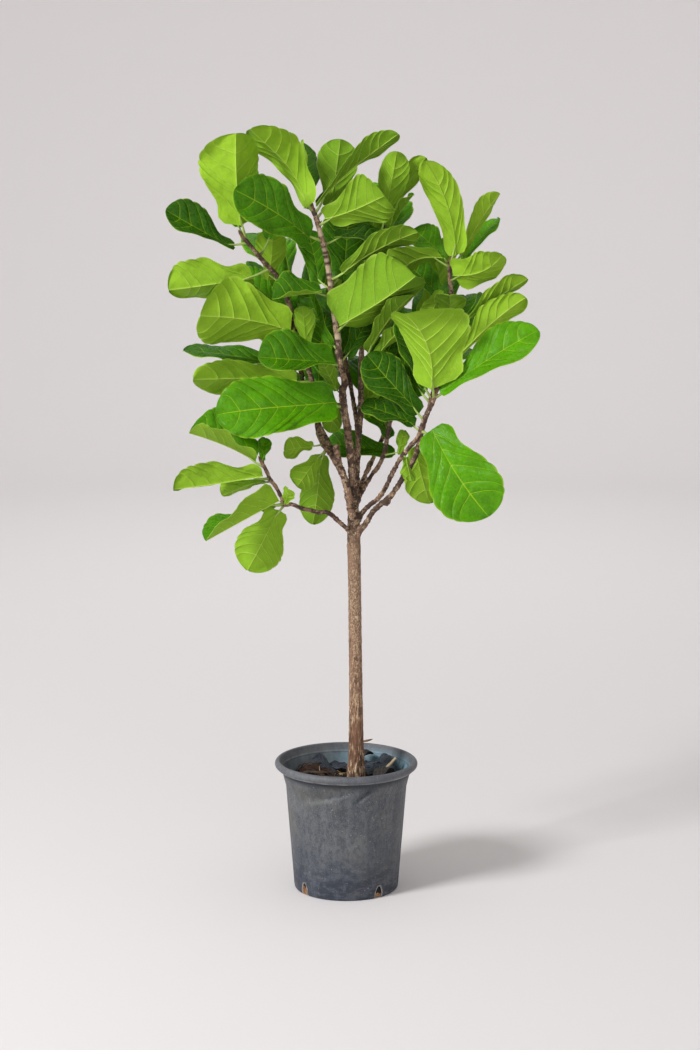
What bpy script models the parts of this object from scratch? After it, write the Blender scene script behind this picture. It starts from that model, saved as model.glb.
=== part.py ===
"""Potted fiddle leaf fig: a young standard tree in a plastic nursery pot.

Units are metres and +Z is up. The origin is the centre of the pot's foot, on the ground,
and the tree's best side faces -Y. Tables of places are in centimetres.
"""
import math
import random
from collections import namedtuple

import bmesh
import bpy
from mathutils import Matrix, Quaternion, Vector
from mathutils.bvhtree import BVHTree

CM = 0.01
GAP = 0.0003            # between solids that touch
JOINT_STRAIGHT = 0.004  # straight length on both sides of a cut through a stem

# Pot: radii and heights
RIM_RADIUS = 0.160
RIM_HEIGHT = 0.294
LIP_HEIGHT = 0.020
LIP_INNER_RADIUS = 0.1495
SHOULDER_RADIUS = 0.1455
WAIST_RADIUS = 0.1355
WAIST_HEIGHT = 0.235
FOOT_RADIUS = 0.1165
POT_WALL = 0.0022
POT_FLOOR = 0.0030
POT_STEPS = 32
NOTCH_WIDTH = 0.020
NOTCH_HEIGHT = 0.028
NOTCH_DEPTH = 0.030
NOTCH_ANGLES = (-52, 38, 128, 218)

# Soil and the hole that the trunk stands in
SOIL_HEIGHT = 0.246
SOIL_HILL = 0.007
SOIL_LUMP = 0.004
TRUNK_X = 0.022
TRUNK_FOOT = 0.120
TRUNK_FLARE_TOP = 0.262
TRUNK_FLARE_RADIUS = 0.0210
HOLE_RADIUS = TRUNK_FLARE_RADIUS + 0.0007
LITTER_GAP = 0.0004

# The point that the places in the tables are seen from
EYE = Vector((0.0085, -5.10, 1.65))

# Leaves
BLADE_THICKNESS = 0.0010
BLADE_ROWS = (0.01, 0.10, 0.30, 0.52, 0.74, 0.91, 0.99)
SMALL_BLADE_ROWS = (0.01, 0.13, 0.34, 0.62, 0.87, 0.99)
SMALL_LEAF = 0.116
BROAD_LEAF = 0.138
PETIOLE_RADIUS = 0.0026
PETIOLE_LEAST = 0.018
STALK_MARGIN = 1.2      # centimetres from a stalk's root to a cut through its stem
STALK_END = 0.07        # part of the blade's length that the stalk runs under
STALK_SINK = 0.0009     # depth of the stalk's axis under the blade's middle surface
GESTURE = 9             # place of a bearing's first value in a leaf's row
STALK_FREE = 0.35       # part of a stalk that may lie against its neighbours on the same stem
CLEARANCE = 0.003
WAVES = 2.3
WAVE_HEIGHT = 0.042
TWIST_START = 0.25      # part of the blade's length where it isn't twisted

# A stem's points: x and z as seen on the trunk's plane, and depth behind it
STEMS = {
    "leader": ([(1.6, 84, 0), (1.5, 90, 0.3), (1.3, 95, 0.6), (0.6, 101, 1), (0.3, 104, 1),
                (-0.3, 107, 1.2), (-0.8, 112, 1.4), (-0.3, 114, 1.5), (-1.5, 119, 1.8),
                (-1.7, 123, 2), (-2.3, 127, 2), (-3.0, 131, 1.5), (-3.5, 136.5, 1),
                (-4.5, 142, 0.5), (-5.5, 146, 0), (-6.3, 149, 0), (-7.2, 151.5, 0)],
               1.05, 0.50),
    "left": ([(1.4, 83.5, -0.6), (0.3, 90, -2.2), (-0.5, 93, -2.0), (-2, 96, -1), (-3.5, 98.5, 0.5),
              (-5, 100.5, 2), (-6, 103, 3.5), (-6.4, 107, 5), (-7, 112, 6), (-9, 120, 6),
              (-12, 130, 4), (-15, 137, 1), (-19, 141.5, -2), (-22.3, 145.5, -4)],
             0.90, 0.45),
    "back": ([(1.6, 86, 0.5), (2.2, 92, 2.5), (2.4, 97, 3), (2.8, 103, 3.5), (3.2, 108, 4.5),
              (3.2, 113, 5.5), (3.3, 119, 6.5), (3.6, 125, 7.5), (4.5, 132, 8.5), (5.8, 138, 9),
              (7, 143, 9), (7.8, 146.5, 8.5)],
             0.80, 0.45),
    "inner": ([(1.7, 84.5, 0.5), (3, 89, 2.2), (4, 91, 3), (5.3, 93, 4), (6.8, 95, 5), (7.8, 96.8, 5.8),
               (8.5, 99, 6.5), (9.2, 103, 8), (10, 108, 9.5), (10.6, 112, 10.5)],
              0.62, 0.42),
    "right": ([(2.0, 78.5, -0.3), (3, 81, -0.8), (4.5, 83, -1.2), (6, 85.5, -1.8), (8, 87.3, -2.2),
               (9.5, 88.5, -2.6), (11, 90.5, -3), (12.5, 93, -3), (14, 95.5, -2.8), (15.3, 98, -2.5),
               (16.2, 101.5, -2), (17, 105, -1.5), (18.2, 108.5, -1), (19, 111.5, -0.8),
               (19.9, 116, -0.5), (20.7, 121, 0), (22, 128, 0), (22.8, 133, 0), (22.4, 137, 0),
               (22.6, 140, 0)],
              0.72, 0.45),
    "front": ([(2.0, 81.5, 0), (3.5, 85, 0), (5, 86.7, 0), (6.8, 88, -0.3), (8, 89.6, -1), (8.8, 91, -2),
               (9.7, 93, -3.5), (10.7, 95, -5), (11.8, 97, -6.5), (14, 99.8, -8.5), (15.8, 102, -10),
               (17, 105.5, -11), (18.7, 109, -12), (19.6, 111.5, -12.5)],
              0.60, 0.45),
    "low": ([(1.5, 79.5, 0), (0.2, 81.5, -1.5), (-1.5, 83, -2.5), (-3, 84.5, -3.5), (-4.5, 85.3, -5),
             (-6, 85.2, -6), (-8, 85.7, -6.5), (-10, 86.2, -7), (-12, 87, -7.2), (-13.5, 87, -7.3),
             (-14.4, 88.8, -7.4), (-15.5, 91, -7.6), (-16.7, 92.5, -7.8), (-17.5, 94.5, -8),
             (-18.4, 96, -8)],
            0.55, 0.38),
    "rear_left": ([(1.4, 88, 0.3), (-0.6, 94, 3.5), (-3, 99, 6.5), (-6, 105, 10), (-9, 113, 13.5),
                   (-11, 121, 16), (-12, 129, 18)],
                  0.65, 0.40),
    "rear_right": ([(1.6, 86.5, 0.4), (4, 93, 6.5), (6.5, 98.5, 10), (9.5, 105, 13), (12.5, 112, 15.5),
                    (14.5, 120, 17.5), (15.5, 129, 18.5)],
                   0.65, 0.40),
    "rear": ([(2.3, 94, 2.7), (2.6, 100, 7), (2.2, 106, 10.5), (1, 113, 13.5), (-0.5, 121, 16),
              (-1.5, 130, 17.5), (-2, 138, 18.5)],
             0.60, 0.40),
}

# Cut stubs and knobs on the old wood: two ends as above, and two radii
STUBS = (
    ((-1.5, 95.2, -1.3), (-2.3, 100.2, -1.6), 0.80, 0.75),
    ((2.35, 96, 3.0), (1.2, 99.4, 2.4), 0.60, 0.55),
    ((8.6, 87.6, -2.3), (9.4, 87.0, -2.5), 0.95, 0.70),
    ((1.6, 77.6, 0), (0.4, 78.2, -0.4), 0.95, 0.75),
)

# A leafy stem: its node, the stem, and the stretch between two of its points
Stretch = namedtuple("Stretch", "node stem first last")
STRETCHES = (
    Stretch("leafy_leader_low", "leader", 4, 9),
    Stretch("leafy_leader_middle", "leader", 9, 13),
    Stretch("leafy_leader_top", "leader", 13, 16),
    Stretch("leafy_left_low", "left", 4, 9),
    Stretch("leafy_left_middle", "left", 9, 11),
    Stretch("leafy_left_top", "left", 11, 13),
    Stretch("leafy_back_low", "back", 3, 6),
    Stretch("leafy_back_top", "back", 6, 11),
    Stretch("leafy_inner", "inner", 4, 9),
    Stretch("leafy_right_low", "right", 8, 13),
    Stretch("leafy_right_middle", "right", 13, 16),
    Stretch("leafy_right_top", "right", 16, 19),
    Stretch("leafy_front", "front", 8, 13),
    Stretch("leafy_low", "low", 3, 14),
    Stretch("leafy_rear_left", "rear_left", 2, 6),
    Stretch("leafy_rear_right", "rear_right", 2, 6),
    Stretch("leafy_rear", "rear", 2, 6),
)

# A leaf: base and tip as seen, width, turn about its length (0 shows the upper side, 180 the
# underside), the tip's depth behind the base, arch towards the upper side as a part of its
# length, and the fold of each half towards the upper side in degrees. A leaf with a bearing of
# its own also has a sweep to one side as a part of its length, a twist in degrees from base to
# tip, a flap (more fold of one half, in degrees), a cup (the lift of its edges as a part of half
# its width) and a neck (how wide it is below its head)
Leaf = namedtuple("Leaf", "x0 z0 x1 z1 width turn reach arch fold sweep twist flap cup neck",
                  defaults=(0, 0, 0, 0, 0.50))
LEAVES = {
    "leafy_leader_low": (
        Leaf(-2.0, 109.6, -28.4, 106.8, 14.0, 22, -6, 0.06, 6, cup=0.12, neck=0.78),
        Leaf(-2.4, 118.4, -19.2, 119.4, 13.0, 30, -5, 0.03, 10, twist=-25, flap=-40, neck=0.6),
        Leaf(-2.0, 112.0, -5.2, 118.5, 4.5, 150, -4, 0.05, 15),
        Leaf(-1.5, 109.5, -3.5, 102.8, 4.5, 170, -4, 0.10, 10),
        Leaf(0.2, 119.5, 6.0, 129.5, 6.5, 15, 7, 0.02, 15),
        Leaf(-3.0, 121.5, -9.0, 136.0, 7.0, -45, 5, 0.02, 18),
    ),
    "leafy_leader_middle": (
        Leaf(-1.5, 126.2, 15.1, 137.0, 18.0, 184, -6, 0.05, 8, flap=-55, neck=0.92),
        Leaf(-5.2, 133.6, -16.0, 132.0, 10.0, 55, -2, 0.03, 46),
        Leaf(-0.6, 136.0, 0.8, 151.5, 11.5, 5, 7, -0.03, 10),
        Leaf(-6.0, 135.0, -8.5, 147.0, 7.5, 20, 6, 0.02, 12),
        Leaf(-1.0, 137.5, 15.5, 146.5, 9.0, -125, -5, 0.04, 16),
        Leaf(-0.5, 131.0, 7.5, 141.0, 6.5, 165, 1, 0.05, 12),
    ),
    "leafy_leader_top": (
        Leaf(-8.4, 151.6, -20.6, 168.4, 13.0, 148, -5, 0.20, 8, flap=26),
        Leaf(-6.5, 152.0, 11.2, 167.4, 8.4, -95, -5, 0.05, 20, sweep=-0.10, twist=-75),
        Leaf(-4.6, 149.4, 8.3, 154.2, 12.5, -150, -9, 0.08, 8, sweep=-0.06, cup=0.15),
        Leaf(-9.0, 151.5, -9.7, 165.8, 9.2, 62, 4, 0.05, 25),
        Leaf(-3.3, 151.6, -1.2, 166.3, 9.2, 174, 2, 0.04, 14),
        Leaf(-7.9, 145.0, -24.1, 155.5, 12.2, 28, -9, 0.03, 12, cup=0.12, neck=0.62),
        Leaf(-2.5, 145.5, 9.5, 144.5, 8.0, -70, 4, 0.05, 15),
    ),
    "leafy_left_low": (
        Leaf(-5.6, 98.2, -7.4, 82.5, 8.6, 176, 3, 0.04, 16, flap=-20),
        Leaf(-7.1, 99.9, -13.6, 98.8, 6.2, 140, -3, 0.03, 12),
        Leaf(-10.7, 114.4, -33.4, 114.6, 10.4, 130, -5, 0.04, 14, twist=15, neck=0.6),
        Leaf(-6.2, 97.6, -10.8, 90.9, 6.4, 172, 6, 0.03, 12),
        Leaf(-11.3, 117.3, -35.5, 120.8, 10.5, 62, 4, 0.02, 12, twist=8),
        Leaf(-8.4, 120.5, -9.6, 130.5, 5.0, 168, -4, 0.04, 12),
    ),
    "leafy_left_middle": (
        Leaf(-12.0, 125.2, -31.7, 128.4, 17.0, 156, -8, 0.05, 8, flap=12, cup=0.10, neck=0.6),
        Leaf(-16.9, 136.0, -16.0, 147.0, 7.8, 165, -4, 0.05, 12, flap=-30),
        Leaf(-11.0, 134.0, -14.0, 147.5, 7.0, -68, 4, 0.03, 20),
        Leaf(-13.5, 130.0, -24.0, 138.0, 8.5, 40, 8, 0.04, 10),
    ),
    "leafy_left_top": (
        Leaf(-22.7, 147.8, -23.6, 167.5, 16.0, 182, -1, 0.03, 10, flap=-42, neck=0.6),
        Leaf(-24.0, 143.0, -38.9, 151.2, 9.4, 58, -4, 0.00, 20, twist=-28, cup=0.10),
        Leaf(-20.1, 136.6, -38.5, 134.0, 12.5, 150, 3, 0.03, 14, flap=15, neck=0.6),
        Leaf(-24.0, 147.5, -21.6, 161.6, 7.5, 20, 10, 0.04, 14),
        Leaf(-15.8, 145.0, -17.0, 156.6, 7.6, -20, 10, 0.03, 14),
    ),
    "leafy_back_low": (
        Leaf(4.6, 120.5, 14.5, 133.0, 8.0, -128, -3, 0.05, 14),
        Leaf(6.4, 119.0, 13.0, 126.5, 5.0, -140, -5, 0.06, 12),
        Leaf(4.0, 106.0, 5.5, 119.5, 7.0, 150, 5, 0.04, 12),
    ),
    "leafy_back_top": (
        Leaf(8.2, 148.0, 10.9, 163.7, 7.2, 165, -1, 0.06, 22),
        Leaf(9.9, 151.5, 17.2, 162.4, 5.6, -150, -2, 0.05, 14),
        Leaf(9.1, 146.0, 14.6, 154.5, 6.0, -96, -4, 0.04, 18),
        Leaf(6.6, 142.8, 5.4, 156.5, 9.5, 172, -3, 0.05, 10),
        Leaf(7.5, 142.0, 5.5, 157.0, 9.0, 10, 14, 0.04, 10),
    ),
    "leafy_inner": (
        Leaf(10.8, 98.0, -4.2, 100.5, 7.8, 66, 5, 0.06, 34),
        Leaf(9.5, 101.5, 4.0, 110.0, 8.0, 34, 4, 0.03, 12),
        Leaf(11.5, 98.0, 12.6, 103.4, 3.4, 150, -2, 0.05, 12),
    ),
    "leafy_right_low": (
        Leaf(16.0, 107.0, 4.5, 120.0, 10.0, 20, 2, 0.05, 8),
        Leaf(17.0, 111.0, 6.5, 123.5, 8.5, 24, 9, 0.03, 10),
        Leaf(15.2, 104.5, 3.5, 109.0, 9.0, 52, 3, 0.05, 10),
        Leaf(17.2, 112.8, 11.0, 127.0, 7.5, 42, 4, 0.03, 18),
        Leaf(15.2, 100.0, 18.5, 87.2, 8.5, 178, 4, 0.04, 10),
    ),
    "leafy_right_middle": (
        Leaf(23.5, 119.0, 39.0, 132.4, 8.2, -124, -2, 0.03, 12, twist=-20, flap=32),
        Leaf(23.8, 125.3, 39.3, 136.5, 6.6, -108, -3, 0.04, 20, twist=-25),
        Leaf(22.6, 122.0, 29.7, 133.2, 6.5, 55, 3, 0.03, 14),
        Leaf(22.0, 125.5, 22.4, 132.8, 7.0, 178, -12, 0.10, 12),
        Leaf(21.5, 118.0, 29.0, 120.0, 8.0, -60, 12, 0.05, 10),
    ),
    "leafy_right_top": (
        Leaf(23.8, 141.3, 16.9, 161.6, 7.2, 172, -4, 0.04, 12, sweep=-0.05, neck=0.75),
        Leaf(23.1, 137.2, 33.8, 141.6, 8.6, -155, -6, 0.00, 14, sweep=-0.12, twist=60, neck=0.9),
        Leaf(24.9, 141.1, 33.1, 154.8, 6.4, -128, 2, 0.03, 16),
        Leaf(20.8, 141.0, 9.8, 134.5, 10.5, 128, -5, 0.24, 12, twist=20, cup=0.15),
        Leaf(25.3, 140.0, 32.6, 149.4, 6.2, -48, 6, 0.03, 14),
        Leaf(21.6, 141.0, 14.6, 147.0, 7.5, 22, 7, 0.03, 14),
        Leaf(21.0, 131.5, 12.8, 139.8, 7.5, 34, 5, 0.03, 16),
        Leaf(21.0, 133.8, 17.4, 126.8, 5.5, 150, -3, 0.05, 12),
    ),
    "leafy_front": (
        Leaf(18.8, 103.7, 31.4, 84.2, 15.0, 2, -7, 0.06, 6, sweep=0.05, cup=0.08, neck=0.55),
        Leaf(18.5, 112.2, 12.6, 128.8, 20.5, 176, -6, 0.05, 8, sweep=-0.10, flap=50, neck=0.66),
        Leaf(20.5, 111.4, 41.9, 125.3, 11.0, -30, -3, 0.04, 14, cup=0.10, neck=0.42),
        Leaf(13.0, 98.0, 14.4, 92.0, 3.6, 140, -3, 0.05, 12),
    ),
    "leafy_low": (
        Leaf(-19.8, 96.6, -34.4, 102.8, 15.0, 66, -4, 0.03, 44, neck=0.6),
        Leaf(-18.2, 93.3, -38.0, 90.3, 10.0, 138, -3, 0.02, 20, flap=30, neck=0.6),
        Leaf(-14.7, 87.9, -31.0, 78.8, 12.0, 128, -6, 0.00, 16, twist=-50, flap=40, neck=0.9),
        Leaf(-14.9, 85.8, -21.8, 72.2, 10.8, 178, 4, 0.03, 10, cup=0.10),
        Leaf(-17.9, 92.2, -27.2, 88.9, 6.4, 118, 4, 0.03, 16),
        Leaf(-15.4, 86.7, -19.0, 85.7, 3.0, 140, -5, 0.03, 12),
        Leaf(-13.5, 86.8, -12.8, 90.4, 3.4, 150, -3, 0.05, 12),
        Leaf(-18.5, 96.6, -17.7, 101.7, 3.4, 24, 3, 0.03, 16),
    ),
    "leafy_rear_left": (),
    "leafy_rear_right": (),
    "leafy_rear": (),
}

# Leaves round the rear stems follow a rule: how many, and where the first one points
REAR_LEAVES = {
    "leafy_rear_left": (8, 150),
    "leafy_rear_right": (8, 30),
    "leafy_rear": (7, 95),
    "leafy_back_top": (1, 80),
    "leafy_left_middle": (1, 110),
    "leafy_left_low": (1, 130),
    "leafy_right_middle": (1, 70),
    "leafy_inner": (1, 60),
}
GOLDEN_ANGLE = 137.5

# What lies on the soil: points in centimetres from the pot's axis, laid down on the soil
LITTER = {
    "twig_pale": ([(6.0, -2.5, 0), (7.2, 0.5, 0.3), (8.6, 2.4, 0.9), (10.0, 3.2, 2.0), (11.2, 3.4, 3.3)],
                  0.42, 0.30),
    "twig_dark": ([(-6.5, -3.5, 0), (-4.0, -2.0, 0.3), (-1.5, -1.8, 0.2), (0.0, -3.4, 0)], 0.34, 0.22),
    "root_surface": ([(-11.0, 1.0, 0), (-8.5, 2.6, 0.3), (-5.5, 2.2, 0.3), (-2.6, 3.6, 0)], 0.36, 0.24),
}
DRY_LEAVES = {
    "dry_leaf_right": ((4.6, -9.6, 1.0), (11.2, -5.6, 3.4), 5.0, 0.16, 38),
    "dry_leaf_back": ((1.0, 7.6, 1.0), (6.2, 10.6, 3.6), 4.4, 0.14, 34),
}
LITTER_TWIG = ((-3.6, -2.0, 0.3), (-2.2, 0.4, 1.2))
REAR_REACH = 0.36       # how far behind the trunk a leaf may end
REAR_SEED = 5

BARK = (0.20, 0.135, 0.075, 1)
GREEN = (0.075, 0.20, 0.028, 1)


def seen(x, z, depth):
    """The point at a depth behind the trunk's plane that looks to be at x, z on the plane."""
    spread = (depth * CM - EYE.y) / -EYE.y
    on_plane = Vector((x * CM, 0, z * CM))
    return Vector((EYE.x + (on_plane.x - EYE.x) * spread, depth * CM,
                   EYE.z + (on_plane.z - EYE.z) * spread))


def clear_scene():
    """Remove the objects that the file starts with."""
    for thing in list(bpy.data.objects):
        bpy.data.objects.remove(thing)


def make_collection(name):
    """A collection linked to the scene."""
    group = bpy.data.collections.new(name)
    bpy.context.scene.collection.children.link(group)
    return group


def make_material(name, color, roughness):
    """A plain Principled material."""
    mat = bpy.data.materials.new(name)
    mat.use_nodes = True
    shader = mat.node_tree.nodes["Principled BSDF"]
    shader.inputs["Base Color"].default_value = color
    shader.inputs["Roughness"].default_value = roughness
    return mat


def add_mesh(name, bm, group):
    """An object from a bmesh, in a collection."""
    mesh = bpy.data.meshes.new(name)
    bm.to_mesh(mesh)
    bm.free()
    thing = bpy.data.objects.new(name, mesh)
    group.objects.link(thing)
    return thing


def evaluated_mesh(thing):
    """The object's mesh with its modifiers applied."""
    bpy.context.view_layer.update()
    graph = bpy.context.evaluated_depsgraph_get()
    return bpy.data.meshes.new_from_object(thing.evaluated_get(graph))


def tube(name, points, radii, group, roundness=1):
    """A closed mesh tube along points, with a radius at each."""
    curve = bpy.data.curves.new(name, "CURVE")
    curve.dimensions = "3D"
    curve.bevel_depth = 1.0
    curve.bevel_resolution = roundness
    curve.use_fill_caps = True
    spline = curve.splines.new("POLY")
    spline.points.add(len(points) - 1)
    for spot, place, radius in zip(spline.points, points, radii):
        spot.co = (*place, 1)
        spot.radius = radius
    guide = bpy.data.objects.new(name + "_guide", curve)
    group.objects.link(guide)
    mesh = evaluated_mesh(guide)
    bpy.data.objects.remove(guide)
    bm = bmesh.new()
    bm.from_mesh(mesh)
    bmesh.ops.remove_doubles(bm, verts=bm.verts, dist=0.00002)
    bmesh.ops.recalc_face_normals(bm, faces=bm.faces)
    return add_mesh(name, bm, group)


def unite(thing, pieces):
    """Join a collection's objects to one object, and remove them."""
    join = thing.modifiers.new("join", "BOOLEAN")
    join.operation = "UNION"
    join.operand_type = "COLLECTION"
    join.collection = pieces
    mesh = evaluated_mesh(thing)
    thing.modifiers.clear()
    thing.data = mesh
    for piece in list(pieces.objects):
        bpy.data.objects.remove(piece)
    bpy.data.collections.remove(pieces)


def finish(thing, mat):
    """Give an object its material and soft shading."""
    thing.data.materials.clear()
    thing.data.materials.append(mat)
    thing.data.shade_smooth()
    thing.data.set_sharp_from_angle(angle=math.radians(35))


def turned(name, profile, steps, group):
    """A solid turned from a profile of radius and height that runs down its outer side."""
    bm = bmesh.new()
    spots = [bm.verts.new((radius, 0, height)) for radius, height in profile]
    for one, other in zip(spots, spots[1:]):
        bm.edges.new((one, other))
    thing = add_mesh(name, bm, group)
    screw = thing.modifiers.new("turn", "SCREW")
    screw.axis = "Z"
    screw.steps = steps
    screw.render_steps = steps
    screw.use_merge_vertices = True
    screw.merge_threshold = 0.00001
    mesh = evaluated_mesh(thing)
    thing.modifiers.clear()
    bm = bmesh.new()
    bm.from_mesh(mesh)
    bmesh.ops.remove_doubles(bm, verts=bm.verts, dist=0.00002)
    bm.to_mesh(thing.data)
    bm.free()
    return thing


def wall_radius(height):
    """The pot's outer radius below the lip."""
    if height > WAIST_HEIGHT:
        top = RIM_HEIGHT - LIP_HEIGHT
        part = (height - WAIST_HEIGHT) / (top - WAIST_HEIGHT)
        return WAIST_RADIUS + part * (SHOULDER_RADIUS - WAIST_RADIUS)
    return FOOT_RADIUS + height / WAIST_HEIGHT * (WAIST_RADIUS - FOOT_RADIUS)


def make_pot(group):
    """The nursery pot: tapered wall, rolled lip, and four arched notches at the foot."""
    lip_foot = RIM_HEIGHT - LIP_HEIGHT
    edge = 0.004
    profile = [
        (0, POT_FLOOR),
        (wall_radius(POT_FLOOR) - POT_WALL - edge, POT_FLOOR),
        (wall_radius(0.008) - POT_WALL, 0.008),
        (WAIST_RADIUS - POT_WALL, WAIST_HEIGHT),
        (SHOULDER_RADIUS - POT_WALL, lip_foot),
        (LIP_INNER_RADIUS - 0.001, RIM_HEIGHT - 0.004),
        (LIP_INNER_RADIUS + 0.003, RIM_HEIGHT),
        (RIM_RADIUS - 0.003, RIM_HEIGHT),
        (RIM_RADIUS, RIM_HEIGHT - 0.003),
        (RIM_RADIUS - 0.0005, lip_foot),
        (SHOULDER_RADIUS + 0.001, lip_foot - 0.001),
        (WAIST_RADIUS, WAIST_HEIGHT),
        (wall_radius(0.010), 0.010),
        (FOOT_RADIUS - 0.0015, 0.003),
        (FOOT_RADIUS - 0.006, 0),
        (0, 0),
    ]
    pot = turned("pot", profile, POT_STEPS, group)
    cutters = make_collection("pot_cutters")
    for angle in NOTCH_ANGLES:
        bm = bmesh.new()
        bmesh.ops.create_cone(bm, cap_ends=True, segments=14, radius1=1, radius2=1, depth=NOTCH_DEPTH)
        bm.transform(Matrix.Rotation(math.radians(90), 4, "Y"))
        bm.transform(Matrix.Diagonal((1, NOTCH_WIDTH / 2, NOTCH_HEIGHT, 1)))
        bm.transform(Matrix.Translation((FOOT_RADIUS, 0, 0)))
        bm.transform(Matrix.Rotation(math.radians(angle - 90), 4, "Z"))
        bmesh.ops.recalc_face_normals(bm, faces=bm.faces)
        add_mesh("notch", bm, cutters)
    cut = pot.modifiers.new("notches", "BOOLEAN")
    cut.operation = "DIFFERENCE"
    cut.operand_type = "COLLECTION"
    cut.collection = cutters
    mesh = evaluated_mesh(pot)
    pot.modifiers.clear()
    pot.data = mesh
    for piece in list(cutters.objects):
        bpy.data.objects.remove(piece)
    bpy.data.collections.remove(cutters)
    finish(pot, make_material("plastic_dark", (0.035, 0.037, 0.043, 1), 0.55))
    return pot


def soil_lumps(x, y):
    """How far the soil stands above its mean height, at a place in metres."""
    hill = SOIL_HILL * math.exp(-((x - TRUNK_X) ** 2 + y * y) / 0.0030)
    left = 0.004 * max(0.0, -x / 0.13)
    lumps = math.sin(71 * x + 2.0) * math.cos(63 * y + 0.7) + 0.6 * math.sin(117 * y - 59 * x)
    return hill + left + SOIL_LUMP * 0.6 * lumps


def make_soil(group):
    """The ball of soil that fills the pot, with a plain hole for the trunk."""
    foot = POT_FLOOR + GAP
    inset = POT_WALL + GAP / math.cos(math.pi / POT_STEPS)
    top_radius = wall_radius(SOIL_HEIGHT) - inset
    rings = (0.030, 0.055, 0.080, 0.105)
    profile = [(0, SOIL_HEIGHT)]
    profile += [(radius, SOIL_HEIGHT) for radius in rings]
    profile += [
        (top_radius, SOIL_HEIGHT),
        (WAIST_RADIUS - inset, WAIST_HEIGHT),
        (wall_radius(0.009) - inset, 0.009),
        (wall_radius(POT_FLOOR) - inset - 0.005, foot),
        (0, foot),
    ]
    soil = turned("soil", profile, POT_STEPS, group)
    for spot in soil.data.vertices:
        radius = math.hypot(spot.co.x, spot.co.y)
        if spot.co.z > SOIL_HEIGHT - 0.001:
            calm = max(0.0, 1 - (radius / top_radius) ** 6)
            spot.co.z += soil_lumps(spot.co.x, spot.co.y) * calm
    cutters = make_collection("soil_cutters")
    bm = bmesh.new()
    depth = RIM_HEIGHT - TRUNK_FOOT
    bmesh.ops.create_cone(bm, cap_ends=True, segments=24, radius1=HOLE_RADIUS, radius2=HOLE_RADIUS,
                          depth=depth)
    bm.transform(Matrix.Translation((TRUNK_X, 0, TRUNK_FOOT - GAP + depth / 2)))
    add_mesh("hole", bm, cutters)
    cut = soil.modifiers.new("hole", "BOOLEAN")
    cut.operation = "DIFFERENCE"
    cut.operand_type = "COLLECTION"
    cut.collection = cutters
    mesh = evaluated_mesh(soil)
    soil.modifiers.clear()
    soil.data = mesh
    for piece in list(cutters.objects):
        bpy.data.objects.remove(piece)
    bpy.data.collections.remove(cutters)
    finish(soil, make_material("potting_soil", (0.045, 0.030, 0.018, 1), 0.95))
    return soil


def stem_line(name):
    """A stem's points in space and its radius at each."""
    rows, thick, thin = STEMS[name]
    points = [seen(*row) for row in rows]
    last = len(points) - 1
    radii = [(thick + (thin - thick) * (i / last) ** 0.7) * CM for i in range(last + 1)]
    return points, radii


def cut_line(name, first, last):
    """The stretch of a stem between two of its points, with straight ends where it is cut."""
    points, radii = stem_line(name)
    places = list(points[first:last + 1])
    sizes = list(radii[first:last + 1])
    if first > 0:
        way = (points[first + 1] - points[first - 1]).normalized()
        places[:1] = [points[first] + way * (GAP / 2), points[first] + way * JOINT_STRAIGHT]
        sizes[:1] = [radii[first]] * 2
    if last < len(points) - 1:
        way = (points[last + 1] - points[last - 1]).normalized()
        places[-1:] = [points[last] - way * JOINT_STRAIGHT, points[last] - way * (GAP / 2)]
        sizes[-1:] = [radii[last]] * 2
    return places, sizes


def limb_ends():
    """The point of each stem where its bare foot ends and its first leafy stretch begins."""
    ends = {}
    for stretch in STRETCHES:
        ends.setdefault(stretch.stem, stretch.first)
    return ends


def make_trunk(group):
    """The bare trunk with the feet of its limbs, as one grown piece."""
    points = [Vector((TRUNK_X, 0, TRUNK_FOOT)), Vector((TRUNK_X, 0, TRUNK_FLARE_TOP)),
              seen(2.25, 29, 0), seen(2.2, 36, 0), seen(2.15, 45, 0), seen(2.0, 58, 0),
              seen(1.85, 70, 0), seen(1.7, 78, 0), seen(1.65, 84, 0), seen(1.6, 86.5, 0)]
    radii = [TRUNK_FLARE_RADIUS, TRUNK_FLARE_RADIUS, 0.0185, 0.0165, 0.0153, 0.0148, 0.0146,
             0.0150, 0.0135, 0.0110]
    trunk = tube("trunk", points, radii, group, roundness=3)
    pieces = make_collection("trunk_pieces")
    for name, last in limb_ends().items():
        places, sizes = cut_line(name, 0, last)
        tube("limb", places, sizes, pieces)
    for start, end, wide, narrow in STUBS:
        tube("stub", [seen(*start), seen(*end)], [wide * CM, narrow * CM], pieces)
    unite(trunk, pieces)
    finish(trunk, make_material("bark", BARK, 0.85))
    return trunk


def outline(u, neck):
    """Half the blade's width at a part of its length: a fiddle with a neck and a broad round end."""
    swell = min(1.0, max(0.0, (u - 0.16) / 0.52))
    body = neck + (1 - neck) * swell * swell * (3 - 2 * swell) - 0.05 * math.exp(-((u - 0.27) / 0.09) ** 2)
    base = max(0.0, 1 - u / 0.12)
    tip = max(0.0, (u - 0.68) / 0.32)
    return body * (1 - base * base) ** 0.6 * (1 - tip ** 2.2) ** 0.5


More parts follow.
